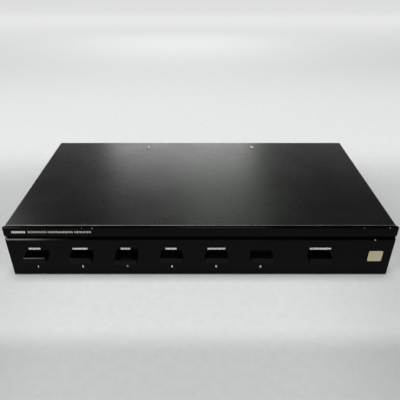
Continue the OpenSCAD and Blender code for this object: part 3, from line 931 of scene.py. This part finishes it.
@dataclass
class Part:
    """A sub-assembly. Its sizes are in millimetres, and its depths start at the front's face.

    Attributes:
        face: Y of the front moulding's face, in metres.
        slots: The record's material slot of each CAD node.
        patterns: The Geometry Nodes trees by name.
    """

    face: float
    slots: dict[str, str]
    patterns: dict[str, Pattern]

    def at(self, x: float, y: float, z: float) -> Point:
        """Turns millimetres from the face into metres in the part's frame."""
        return x * MM, self.face + y * MM, z * MM

    def slab(self, low: Point, high: Point) -> Mesh:
        """Makes a box from two corners in millimetres from the face."""
        return block(self.at(*low), self.at(*high))

    def rod(self, start: Point, along: Point, radius: float) -> Mesh:
        """Makes a rod.

        Args:
            start: Middle of its first end, in millimetres from the face.
            along: Its direction and length.
            radius: Its radius.

        Returns:
            The closed mesh.
        """
        work = bmesh.new()
        run = Vector(along)
        place = Matrix.Translation(Vector(self.at(*start)) + run * MM / 2)
        place @= run.to_track_quat("Z", "Y").to_matrix().to_4x4()
        bmesh.ops.create_cone(
            work, cap_ends=True, segments=32, radius1=radius * MM, radius2=radius * MM,
            depth=run.length * MM, matrix=place)
        return from_bmesh(work)

    def repeat(
        self, piece: Mesh, points: Iterable[Point], aim: Aim, turn: float, seed: int, slot: str
    ) -> Mesh:
        """Repeats a mesh at points in millimetres from the face, each copy turned by chance.

        Args:
            piece: The mesh that is repeated.
            points: Where each copy goes.
            aim: Where the piece's +Z points.
            turn: The most that a copy is turned about its axis, in radians.
            seed: Seed of the turns.
            slot: The material slot whose finish it wears.

        Returns:
            The plain mesh of all the copies.
        """
        source = to_object("source", piece)
        made = self.patterns["repeat"].mesh({
            "Piece": source, "Aim": aim.value, "Turn": turn, "Seed": seed,
            "Material": FINISHES[slot].material()}, [self.at(*p) for p in points])
        bpy.data.objects.remove(source)
        return made

    def bars(self, count: int, start: Point, step: Point, size: Point) -> Mesh:
        """Sets out equal bars in a row.

        Args:
            count: How many.
            start: Middle of the first one, in millimetres from the face.
            step: From one bar to the next.
            size: Size of a bar.

        Returns:
            The plain mesh of all the bars.
        """
        return self.patterns["bars"].mesh({
            "Count": count, "Start": self.at(*start), "Step": tuple(c * MM for c in step),
            "Size": tuple(c * MM for c in size), "Material": INK.material()})

    def softened(self, nodes: Iterable[str], radius: float, steps: int, suffix: str) -> None:
        """Wears a copy of each CAD node with its sharp edges rounded.

        Args:
            nodes: The CAD nodes.
            radius: Width of the rounding.
            steps: Faces across it.
            suffix: What the pieces' names end in.
        """
        for node in nodes:
            wear(f"{node}_{suffix}", soften(merged_copy(node), radius, steps),
                 body_of(NODES[node])[0], self.slots[node], (node,))


@dataclass
class FrontMoulding(Part):
    """The polished front: a rim with a groove straight across it, hollow and ribbed behind.

    Attributes:
        width: Width of the rim.
        low: Height of its lower edge.
        top: Height of its upper edge.
        rim: Depth of the rim.
        lip_end: Where the narrower lip behind the rim ends.
        lip_width: Width of the lip.
        lip_low: Height of the lip's lower edge.
        lip_top: Height of the lip's upper edge.
        wall: Thickness left round the hollows.
        edge: Rounding of the rim's upper front edge.
        end_round: Rounding of the rim's two ends.
        groove: Heights of the groove's lower edge, of its floor at the back and of its top, and
            its depth.
        rib: Thickness of a rib.
        rib_pitch: From one rib to the next.
        opening: Width, height and corner radius of a button's opening.
        button_z: Height of the openings' middle.
        boss: Radius of a screw boss.
        hole: Radius of the hole in a boss.
        back_edge: Rounding of every other edge.
    """

    width: float = 432.0
    low: float = 1.5
    top: float = 66.1
    rim: float = 4.5
    lip_end: float = 8.0
    lip_width: float = 426.0
    lip_low: float = 4.5
    lip_top: float = 65.7
    wall: float = 3.0
    edge: float = 0.15
    end_round: float = 1.6
    groove: tuple[float, float, float, float] = (50.0, 52.6, 55.4, 3.6)
    rib: float = 1.6
    rib_pitch: float = 25.4
    opening: tuple[float, float, float] = (25.6, 8.1, 0.9)
    button_z: float = 27.35
    boss: float = 3.4
    hole: float = 1.55
    back_edge: float = 0.3

    def shell(self) -> Mesh:
        """Extrudes the rim's profile along X, with its ends rounded towards the front.

        Returns:
            The solid rim.
        """
        low, ledge, top, deep = self.groove
        outline = fillet([
            (self.rim, self.low, 0.25), (0, self.low, 0.3), (0, low, 0.12),
            (deep, ledge, 0.5), (deep, top, 0.35), (0, top, 0.3), (0, self.top, self.edge),
            (self.rim, self.top, 0.25)])
        turns = [math.radians(90 * k / 6) for k in range(7)]
        half = self.width / 2 - self.end_round
        ends = [(half + self.end_round * math.sin(t), self.end_round * (1 - math.cos(t)))
                for t in turns]
        stations = [(-x, clamp) for x, clamp in reversed(ends)] + ends
        work = bmesh.new()
        rings = [
            [work.verts.new(self.at(x, max(y, clamp), z)) for y, z in outline]
            for x, clamp in stations]
        for before, after in zip(rings, rings[1:]):
            for k, vert in enumerate(before):
                work.faces.new((before[k - 1], vert, after[k], after[k - 1]))
        work.faces.new(rings[0])
        work.faces.new(rings[-1])
        return from_bmesh(work)

    def hollows(self, buttons: Sequence[float]) -> list[Mesh]:
        """Makes the hollows behind the face, with the ribs, collars and bosses left standing.

        Args:
            buttons: X of each button.

        Returns:
            The two meshes to cut away.
        """
        low, _, top, _ = self.groove
        reach = self.lip_width / 2 - self.wall
        ribs = self.bars(
            16, (buttons[0], 5.0, 34.0), (self.rib_pitch, 0, 0), (self.rib, 12.0, 80.0))
        width, height, _ = self.opening
        collars = [
            self.slab((x - width / 2 - self.rib, 0, self.button_z - height / 2 - self.rib),
                      (x + width / 2 + self.rib, 10, self.button_z + height / 2 + self.rib))
            for x in buttons]
        bosses = joined([self.rod((x, 0, z), (0, 10, 0), self.boss) for x, z in FRONT_SCREWS])
        out = []
        for z0, z1 in ((self.lip_low + self.wall, low - 3.0), (top + 3.0, self.lip_top - self.wall)):
            space = self.slab((-reach, self.wall, z0), (reach, self.lip_end + 1, z1))
            out.append(combine(space, [ribs.copy(), joined(collars), bosses.copy()]))
        return out

    def build(self, buttons: Sequence[float]) -> None:
        """Builds the moulding.

        Args:
            buttons: X of each button.
        """
        lip = self.slab(
            (-self.lip_width / 2, self.rim - 1, self.lip_low),
            (self.lip_width / 2, self.lip_end, self.lip_top))
        whole = combine(self.shell(), [lip], "UNION")
        width, height, corner = self.opening
        window = fillet([
            (-width / 2, -height / 2, corner), (width / 2, -height / 2, corner),
            (width / 2, height / 2, corner), (-width / 2, height / 2, corner)], 5)
        windows = joined([
            prism(window, lambda a, b, t, x=x: self.at(x + a, t, self.button_z + b), -1, 10)
            for x in buttons])
        holes = joined([self.rod((x, 3.6, z), (0, 6, 0), self.hole) for x, z in FRONT_SCREWS])
        made = combine(whole, [*self.hollows(buttons), windows, holes])
        wear("front_moulding", soften(made, self.back_edge, 3), CASE, self.slots["front_panel"],
             ("front_panel",))


@dataclass
class PushButtons(Part):
    """The seven caps, each with a bevelled upper front edge and a square socket behind.

    Attributes:
        edge: Rounding of the edges that run across the cap.
        bevel: How far the bevel reaches back and down.
        rise: How far the cap stands above its plain solid.
        socket: Width of the socket.
        grip: Depth of the socket.
        back_edge: Rounding of the edges behind and of the ends.
    """

    edge: float = 0.3
    bevel: tuple[float, float] = (1.0, 0.68)
    rise: float = 0.7
    socket: float = 3.3
    grip: float = 8.05
    back_edge: float = 0.2

    def cap(self, name: str) -> None:
        """Builds one cap.

        Args:
            name: The button's name.
        """
        low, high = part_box(f"button_{name}")
        front, rear, floor, top = low.y / MM, high.y / MM, low.z / MM, high.z / MM + self.rise
        back, down = self.bevel
        outline = fillet([
            (rear, floor, 0), (front, floor, self.edge), (front, top - down, self.edge),
            (front + back, top, self.edge), (rear, top, 0)])
        body = prism(outline, lambda a, b, t: (t, a * MM, b * MM), low.x, high.x)
        middle = (low + high) / 2
        reach = Vector((self.socket / 2 * MM, 0, self.socket / 2 * MM))
        start = Vector((middle.x, high.y - self.grip * MM, middle.z)) - reach
        end = Vector((middle.x, high.y + MM, middle.z)) + reach
        made = combine(body, [block(start, end)])
        wear(f"button_{name}_cap", soften(made, self.back_edge, 2), f"push_{name}",
             self.slots[f"button_{name}"], (f"button_{name}",))

    def build(self) -> None:
        """Builds all the caps."""
        for name in BUTTONS:
            self.cap(name)


@dataclass
class Case(Part):
    """The folded cover, the tray, the two upright panels and the feet.

    Attributes:
        thickness: Thickness of the cover's sheet.
        bend: Radius of its folds.
        sheet_edge: Rounding of its cut edges.
        hole: Radius of a screw hole.
    """

    thickness: float = 1.0
    bend: float = 1.5
    sheet_edge: float = 0.42
    hole: float = 1.8

    def cover(self) -> None:
        """Folds the cover from one sheet and pierces it for its screws."""
        low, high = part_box("top_cover")
        half = self.thickness * MM / 2
        left, right, roof = low.x + half, high.x - half, high.z - half
        middle = (low.y + high.y) / 2
        path = [(left, middle, low.z), (left, middle, roof), (right, middle, roof),
                (right, middle, low.z)]
        sheet = self.patterns["fold"].mesh({
            "Depth": high.y - low.y, "Thickness": self.thickness * MM, "Bend radius": self.bend * MM,
            "Edge radius": self.sheet_edge * MM,
            "Material": FINISHES["cover_paint"].material()}, path, True)
        holes = [self.rod((x, y, 60), (0, 0, 12), self.hole) for x, y in TOP_SCREWS]
        holes += [self.rod((x - 6, y, z), (12, 0, 0), self.hole)
                  for x in (-SIDE_X, SIDE_X) for y, z in SIDE_SCREWS]
        wear("folded_cover", combine(sheet, [joined(holes)]), CASE,
             self.slots["top_cover"], ("top_cover",))

    def feet(self) -> None:
        """Moulds the four feet, each with a recess for its screw."""
        profile = [
            (3.4, 0), (8.5, 0), (8.9, 0.12), (9.15, 0.4), (9.25, 0.8), (9.9, 4.1), (9.98, 4.35),
            (9.8, 4.5), (1.8, 4.5), (1.8, 2.4), (3.1, 2.4), (3.1, 0.3), (3.18, 0.08)]
        for name in FEET:
            low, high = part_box(f"foot_{name}")
            mesh = lathe(profile, 48)
            mesh.transform(Matrix.Translation(((low.x + high.x) / 2, (low.y + high.y) / 2, 0)))
            wear(f"foot_{name}_moulded", mesh, CASE, self.slots[f"foot_{name}"], (f"foot_{name}",))

    def build(self) -> None:
        """Builds the case."""
        self.cover()
        self.softened(("front_subpanel", "base_tray", "rear_panel"), 0.2, 2, "folded")
        self.feet()


@dataclass(frozen=True)
class ScrewRow:
    """Screws of one kind.

    Attributes:
        node: The CAD node that they stand for.
        points: Where each head sits, in millimetres from the face.
        aim: Which way the heads point.
        shank: Length of the shank.
        shank_r: Radius of the shank.
        head_r: Radius of the head.
        head_h: Height of the head.
    """

    node: str
    points: tuple[Point, ...]
    aim: Aim
    shank: float
    shank_r: float = 1.5
    head_r: float = 2.8
    head_h: float = 1.6


@dataclass
class Fasteners(Part):
    """Every screw and standoff, repeated by Geometry Nodes.

    Attributes:
        posts: Where each standoff stands.
    """

    posts: tuple[Pair, ...] = tuple(
        (x, y) for x in (-198.0, -58.0, 94.4, 198.0) for y in (22.0, 70.0))

    def screw(self, row: ScrewRow) -> Mesh:
        """Turns one screw with a domed head and cuts its cross recess.

        Args:
            row: The kind of screw.

        Returns:
            The screw, its head on z = 0.
        """
        r, h, shank = row.head_r, row.head_h, row.shank_r
        profile = [
            (0, h), (0.4 * r, 0.985 * h), (0.72 * r, 0.88 * h), (0.9 * r, 0.62 * h),
            (0.98 * r, 0.3 * h), (r, 0.1 * h), (0.99 * r, 0), (shank, 0),
            (shank, 0.5 - row.shank), (shank - 0.5, -row.shank), (0, -row.shank)]
        body = lathe(profile, 28)
        long, short, deep = 0.62 * r * MM, 0.14 * r * MM, 0.5 * h * MM
        cuts = [block((-a, -b, deep), (a, b, 2 * h * MM)) for a, b in ((long, short), (short, long))]
        return combine(body, cuts)

    def rows(self) -> tuple[ScrewRow, ...]:
        """Lists the screws that are set straight from a table.

        Returns:
            One row for each kind.
        """
        strip_face, plate_face, ear = REAR_FACE + 5.0, REAR_FACE + 6.0, 21.8
        chassis = tuple((x, y, 4.5) for x in (-150, 0, 150) for y in (12.7, REAR_FACE - 4.7))
        return (
            ScrewRow("foot_screws", tuple((x, y, 2.4) for x in (-180, 180) for y in (30, 197)),
                     Aim.DOWN, 5.8),
            ScrewRow("cover_top_screws", tuple((x, y, 67.2) for x, y in TOP_SCREWS), Aim.UP, 4.9),
            ScrewRow("chassis_screws", chassis, Aim.DOWN, 4.9),
            ScrewRow("front_panel_screws", tuple((x, 9.2, z) for x, z in FRONT_SCREWS),
                     Aim.BACK, 5.6),
            ScrewRow("board_screws", tuple((x, y, 20.1) for x, y in self.posts),
                     Aim.UP, 6.6, 1.25, 2.5),
            ScrewRow("strip_screws",
                     tuple((x + side, strip_face, 32) for x in STRIP_X for side in (-ear, ear)),
                     Aim.BACK, 8.7),
            ScrewRow("terminal_screws",
                     tuple((x + p, plate_face, 30) for x in STRIP_X for p in POLE_X),
                     Aim.BACK, 5.0, 1.75, 3.2, 2.2),
        )

    def build(self) -> None:
        """Sets all the screws and standoffs."""
        for seed, row in enumerate(self.rows()):
            slot = self.slots[row.node]
            mesh = self.repeat(self.screw(row), row.points, row.aim, math.pi, seed, slot)
            wear(f"{row.node}_set", mesh, CASE, slot, (row.node,))
        sides = []
        for x, aim in ((-SIDE_X, Aim.LEFT), (SIDE_X, Aim.RIGHT)):
            row = ScrewRow("cover_side_screws", tuple((x, y, z) for y, z in SIDE_SCREWS), aim, 4.9)
            slot = self.slots[row.node]
            sides.append(self.repeat(self.screw(row), row.points, aim, math.pi, 11, slot))
        wear("cover_side_screws_set", joined(sides), CASE, slot, ("cover_side_screws",))
        tube = [(1.3, 0), (2.7, 0), (3, 0.3), (3, 12.5), (2.7, 12.8), (1.3, 12.8)]
        slot = self.slots["board_standoffs"]
        places = tuple((x, y, 5.7) for x, y in self.posts)
        mesh = self.repeat(lathe(tube, 32), places, Aim.UP, 0.0, 3, slot)
        wear("board_standoffs_set", mesh, CASE, slot, ("board_standoffs",))


@dataclass
class SwitchGear(Part):
    """The board with its switches, springs, resistors and wires."""

    def springs(self) -> None:
        """Winds the seven return springs."""
        coil = self.patterns["coil"].mesh({
            "Turns": 7.0, "Radius": 2.1 * MM, "Length": 11.3 * MM, "Wire radius": 0.3 * MM,
            "Material": FINISHES["spring_steel"].material()})
        turned = Matrix.Rotation(-math.pi / 2, 4, "X")
        for name in BUTTONS:
            low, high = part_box(f"spring_{name}")
            middle = (low + high) / 2
            mesh = coil.copy()
            mesh.transform(Matrix.Translation((middle.x, low.y + 0.35 * MM, middle.z)) @ turned)
            wear(f"spring_{name}_wound", mesh, CASE, self.slots[f"spring_{name}"],
                 (f"spring_{name}",))

    def build(self) -> None:
        """Builds what is inside the case."""
        self.springs()
        self.softened([f"plunger_{n}" for n in BUTTONS], 0.25, 2, "moulded")
        self.softened([f"switch_{n}" for n in BUTTONS], 0.3, 2, "moulded")
        self.softened(["switch_board"], 0.12, 1, "etched")
        self.softened(["protection_resistors"], 0.5, 3, "fired")
        self.softened(["link_wires"], 0.1, 1, "run")


@dataclass
class Terminals(Part):
    """The seven strips and their plates."""

    def build(self) -> None:
        """Builds the strips and plates."""
        self.softened([f"strip_{n}" for n in STRIPS], 0.6, 3, "pressed")
        self.softened(["terminal_plates"], 0.18, 2, "stamped")


@dataclass
class Printing(Part):
    """The printed figures and dashes, and the plain badge plate.

    Attributes:
        proud: How far the ink stands on its face.
    """

    proud: float = 0.03

    def figure(self, text: str, height: float, middle: Point, back: bool) -> Mesh:
        """Prints a plain figure or sign.

        Args:
            text: One character.
            height: Height of a figure.
            middle: Its middle, in millimetres from the face.
            back: Whether it faces backwards.

        Returns:
            Its thin closed mesh.
        """
        curve = bpy.data.curves.new("figure", "FONT")
        curve.body, curve.size = text, height / 0.73 * MM
        curve.align_x, curve.align_y = "CENTER", "CENTER"
        curve.extrude, curve.offset = self.proud / 2 * MM, 0.15 * MM
        holder = bpy.data.objects.new("figure", curve)
        bpy.context.scene.collection.objects.link(holder)
        mesh = applied(holder)
        stand = Matrix.Rotation(math.pi / 2, 4, "X")
        turn = Matrix.Rotation(math.pi if back else 0.0, 4, "Z")
        lows = [min(v.co[k] for v in mesh.vertices) for k in range(2)]
        highs = [max(v.co[k] for v in mesh.vertices) for k in range(2)]
        centred = Matrix.Translation((-(lows[0] + highs[0]) / 2, -(lows[1] + highs[1]) / 2, 0))
        mesh.transform(Matrix.Translation(self.at(*middle)) @ turn @ stand @ centred)
        return mesh

    def dashes(
        self, start: float, end: float, z: float, height: float, bold: float, pitch: float = 1.4
    ) -> Mesh:
        """Prints a row of plain upright dashes.

        Args:
            start: X where the row starts.
            end: X where it ends.
            z: Height of its middle.
            height: Height of a dash.
            bold: Width of a dash.
            pitch: About how far apart the dashes are.

        Returns:
            The row's mesh.
        """
        count = max(2, round((end - start) / pitch))
        step = (end - start - bold) / (count - 1)
        return self.bars(count, (start + bold / 2, -self.proud / 2, z), (step, 0, 0),
                         (bold, self.proud, height))

    def badge(self) -> None:
        """Fixes the small bare plate at the right of the front."""
        outline = fillet([(-7.9, -7.1, 1.6), (7.9, -7.1, 1.6), (7.9, 7.1, 1.6), (-7.9, 7.1, 1.6)])
        plate = prism(outline, lambda a, b, t: self.at(197.2 + a, t, 28 + b), -0.5, 0.0)
        wear("badge_plate", soften(plate, 0.14, 2), CASE, "", finish=BADGE)

    def build(self, buttons: Sequence[float]) -> None:
        """Prints the front and the rear.

        Args:
            buttons: X of each button.
        """
        front = [
            self.figure(str(k + 1), 3.0, (x, -self.proud / 2, 13.0), False)
            for k, x in enumerate((-185.9, -134.8, -83.6, -32.8, 18.0, 68.9))]
        for x, width in zip((*buttons[:5], buttons[6]), (12.8, 16.4, 10.4, 12.1, 19.4, 23.3)):
            front.append(self.dashes(x - width / 2 - 0.4, x + width / 2 - 0.4, 38.4, 2.4, 0.95))
        front.append(self.dashes(-206.0, -191.5, 60.9, 2.8, 0.95, 1.7))
        for start, end in ((-188.1, -168.4), (-166.3, -139.7), (-137.3, -119.7)):
            front.append(self.dashes(start, end, 61.0, 2.5, 0.5, 1.5))
        wear("front_print", joined(front), CASE, "", finish=INK)
        wall = REAR_FACE + self.proud / 2
        rear = [self.figure(str(k + 1), 5.0, (x, wall, 47.0), True)
                for k, x in enumerate(STRIP_X[1:])]
        rear += [self.figure("+-"[j % 2], 3.4, (x - p, wall, 19.0), True)
                 for x in STRIP_X for j, p in enumerate(POLE_X)]
        wear("rear_print", joined(rear), CASE, "", finish=INK)
        self.badge()


# ---- studio ----


@dataclass(frozen=True)
class SoftLight:
    """A rectangular soft light.

    Attributes:
        name: Its name.
        place: Where it stands.
        size: Its width and height.
        power: Its power in watts.
        target: What it points at.
        colour: Its sRGB colour.
    """

    name: str
    place: Point
    size: Pair
    power: float
    target: Point = (0.0, -0.1, 0.03)
    colour: str = "#ffffff"

    def hang(self) -> None:
        """Puts the light into the scene."""
        data = bpy.data.lights.new(self.name, "AREA")
        data.shape, (data.size, data.size_y) = "RECTANGLE", self.size
        data.energy, data.color = self.power, linear(self.colour)[:3]
        lamp = bpy.data.objects.new(self.name, data)
        lamp.location = self.place
        way = Vector(self.target) - Vector(self.place)
        lamp.rotation_euler = way.to_track_quat("-Z", "Y").to_euler()
        lamp.visible_camera = False
        bpy.context.scene.collection.objects.link(lamp)


@dataclass
class Studio:
    """The camera, the floor, the surroundings and the lights, in metres.

    Attributes:
        camera_place: Where the camera stands.
        camera_tilt: Its tilt from straight down, in degrees.
        lens: Its focal length in millimetres.
        wall: Radius and height of the wall round the floor.
        room: Grey level of the room.
        contact: How near the part the floor's glow dims, as a painted contact shadow.
        swells: Soft steps in the floor's own glow: along Y, start, end and the glow at both. The
            first is a painted shade, darker in front of y = -0.2 as if the floor stepped down there.
        lights: The lamps.
    """

    camera_place: Point = (-0.0005, -0.4952, 0.3336)
    camera_tilt: float = 58.836
    lens: float = 38.70
    wall: Pair = (7.0, 1.5)
    room: float = 0.055
    contact: float = 0.015
    swells: tuple[tuple[float, float, float, float], ...] = (
        # The first swell is a painted shade: the glow drops in front of y = -0.2, standing for a step
        # down that the floor does not have.
        (-0.225, -0.19, 0.55, 1.05), (-0.05, 0.3, 0.0, 0.33), (0.45, 0.9, 0.0, -0.18),
        (0.8, 1.9, 0.0, 0.58))
    lights: tuple[SoftLight, ...] = (
        SoftLight("front_high", (0.0, -1.55, 2.05), (0.85, 0.35), 20.0),
        SoftLight("front_fill", (0.01, -2.2, 0.98), (0.8, 0.5), 8.0),
        SoftLight("front_middle", (0.13, -2.0, 1.55), (0.98, 0.3), 6.0, colour="#e9fff0"),
        SoftLight("side_high_1", (-1.8, -1.5, 1.9), (0.5, 0.5), 13.0),
        SoftLight("side_high_2", (1.8, -1.5, 1.9), (0.5, 0.5), 15.0),
        SoftLight("side_fill_1", (-1.9, -1.2, 0.98), (0.5, 0.5), 9.0),
        SoftLight("side_fill_2", (1.9, -1.2, 0.98), (0.5, 0.5), 9.0),
        SoftLight("back_wall", (0.0, 1.9, 0.52), (4.0, 0.5), 3.6, (0.0, 0.0, 0.1)),
        SoftLight("window_low", (-0.085, 1.3, 0.47), (0.63, 0.38), 2.15, (-0.085, 0.0, 0.06)),
        SoftLight("window_high", (0.115, 1.3, 1.0), (0.43, 0.68), 0.60, (0.115, 0.0, 0.06),
                  "#e9ffe9"),
        SoftLight("left_window", (-1.15, 1.2, 1.22), (0.5, 0.6), 1.5, (-0.2, 0.0, 0.06)),
        SoftLight("left_strip", (-0.61, -0.40, 1.0), (0.10, 0.2), 1.7, (-0.2, -0.1, 0.05)),
    )

    def film(self) -> None:
        """Sets the photograph's camera."""
        data = bpy.data.cameras.new("camera")
        data.lens, data.sensor_width, data.clip_start = self.lens, 36.0, 0.01
        camera = bpy.data.objects.new("camera", data)
        camera.location = self.camera_place
        camera.rotation_euler = (math.radians(self.camera_tilt), 0.0, 0.0)
        bpy.context.scene.collection.objects.link(camera)
        bpy.context.scene.camera = camera
        bpy.context.scene.view_settings.view_transform = "Standard"

    @staticmethod
    def paint(
        stage: bpy.types.Object, made: bpy.types.Material, tone: Socket | tuple[float, ...],
        strength: Socket | float
    ) -> None:
        """Gives a stage piece a matt tone that glows where it is the background.

        Args:
            stage: The floor or the wall.
            made: Its material, whose tree has no output yet.
            tone: Its colour.
            strength: How much it glows to the rays that see the background: camera, glossy and
                transmission rays.
        """
        tree = made.node_tree
        rays = add_node(tree, "ShaderNodeLightPath").outputs
        seen = rays["Is Camera Ray"]
        for operation, other in (
                ("MAXIMUM", rays["Is Glossy Ray"]), ("MAXIMUM", rays["Is Transmission Ray"]),
                ("MULTIPLY", strength)):
            seen = add_node(
                tree, "ShaderNodeMath", {"operation": operation}, {0: seen, 1: other}).outputs[0]
        cloth = add_node(tree, "ShaderNodeBsdfDiffuse", links={"Color": tone})
        glow = add_node(tree, "ShaderNodeEmission", links={"Color": tone, "Strength": seen})
        pale = add_node(tree, "ShaderNodeAddShader", links={0: cloth.outputs[0], 1: glow.outputs[0]})
        add_node(tree, "ShaderNodeOutputMaterial", links={"Surface": pale.outputs[0]})
        stage.data.materials.append(made)

    def lift(self, tree: Tree, place: Socket) -> Socket:
        """Draws how much the floor glows: most far behind, least near the front, with painted shadow
        on the floor at both sides of the part and a painted contact shadow round it.

        Args:
            tree: The floor's tree.
            place: Object coordinates.

        Returns:
            The strength of the floor's own glow, dimmed where the part touches it as a painted
            contact shadow.
        """
        across, along, _ = add_node(tree, "ShaderNodeSeparateXYZ", links={0: place}).outputs
        moved = add_node(tree, "ShaderNodeMath", {"operation": "ADD"}, {0: across, 1: 0.02})
        off = add_node(tree, "ShaderNodeMath", {"operation": "ABSOLUTE"}, {0: moved.outputs[0]})
        total: Socket | float = 1.0
        steps = [
            # Painted shadow on the floor at both sides of the part: glow lowered by up to 0.45 beyond
            # |x| 0.1 to 0.3, fading out behind y 0.08 to 0.24.
            ("MULTIPLY", off.outputs[0], (0.1, 0.3, 0.0, -0.45)),
            ("MULTIPLY", along, (0.08, 0.24, 1.0, 0.0)),
            *(("ADD", along, swell) for swell in self.swells)]
        for operation, way, (start, end, low, high) in steps:
            step = add_node(tree, "ShaderNodeMapRange", {"interpolation_type": "SMOOTHSTEP"}, {
                "Value": way, "From Min": start, "From Max": end, "To Min": low, "To Max": high})
            total = add_node(tree, "ShaderNodeMath", {"operation": operation},
                             {0: total, 1: step.outputs[0]}).outputs[0]
        # Painted contact shadow: the glow dims near the part by the square of the ambient occlusion.
        contact = add_node(tree, "ShaderNodeAmbientOcclusion", {"samples": 8}, {
            "Distance": self.contact})
        painted_contact_shadow = add_node(tree, "ShaderNodeMath", {"operation": "POWER"},
                       {0: contact.outputs["AO"], 1: 2.0})
        return add_node(tree, "ShaderNodeMath", {"operation": "MULTIPLY"},
                        {0: total, 1: painted_contact_shadow.outputs[0]}).outputs[0]

    def floor(self) -> None:
        """Lays the plain pale floor."""
        work = bmesh.new()
        bmesh.ops.create_grid(work, x_segments=1, y_segments=1, size=8.0)
        made = blank_material("pale_floor")
        tree = made.node_tree
        place = add_node(tree, "ShaderNodeTexCoord").outputs["Object"]
        nap = add_node(tree, "ShaderNodeTexNoise", links={
            "Vector": place, "Scale": per_metre(9.0), "Detail": 4.0, "Roughness": 0.7}).outputs[0]
        tone = add_node(tree, "ShaderNodeMix", {"data_type": "RGBA"}, {
            "Factor_Float": nap, "A_Color": linear("#9d9e9e"), "B_Color": linear("#aaabaa")})
        self.paint(to_object("floor", from_bmesh(work)), made,
                   find_socket(tone.outputs, "Result_Color"), self.lift(tree, place))

    def backdrop(self) -> None:
        """Stands a low pale wall round the floor, for views along it."""
        radius, height = self.wall
        work = bmesh.new()
        bmesh.ops.create_cone(
            work, cap_ends=False, segments=96, radius1=radius, radius2=radius, depth=height,
            matrix=Matrix.Translation((0, 0, height / 2)))
        self.paint(to_object("backdrop", from_bmesh(work)), blank_material("pale_backdrop"),
                   linear("#dddfdf"), 0.9)

    def surroundings(self) -> None:
        """Fills the room with a weak grey."""
        world = bpy.data.worlds.new("room")
        bpy.context.scene.world = world
        world.use_nodes = True
        tree = world.node_tree
        tree.nodes.clear()
        back = add_node(tree, "ShaderNodeBackground", links={
            "Color": (self.room, self.room, self.room, 1.0)})
        add_node(tree, "ShaderNodeOutputWorld", links={"Surface": back.outputs[0]})

    def build(self) -> None:
        """Sets up the studio."""
        self.film()
        self.floor()
        self.backdrop()
        self.surroundings()
        for light in self.lights:
            light.hang()


def main() -> None:
    """Dresses the part and sets up the studio."""
    logging.basicConfig(level=logging.INFO, format="%(message)s")
    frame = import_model()
    NODES.update(frame["nodes"])
    slots = {s["node"]: s["material_slot"] for s in frame["record"]["subparts"]}
    for node, piece in NODES.items():
        finish = FINISHES[slots[node]].material()
        for worn in piece.material_slots:
            worn.material = finish
    patterns = {
        "repeat": repeat_pattern(), "bars": bars_pattern(), "coil": coil_pattern(),
        "fold": fold_pattern()}
    boxes = [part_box(f"button_{name}") for name in BUTTONS]
    buttons = [(low.x + high.x) / 2 / MM for low, high in boxes]
    common = (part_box("front_panel")[0].y, slots, patterns)
    Studio().build()
    FrontMoulding(*common).build(buttons)
    PushButtons(*common).build()
    Case(*common).build()
    Fasteners(*common).build()
    SwitchGear(*common).build()
    Terminals(*common).build()
    Printing(*common).build(buttons)


if __name__ == "__main__":
    main()
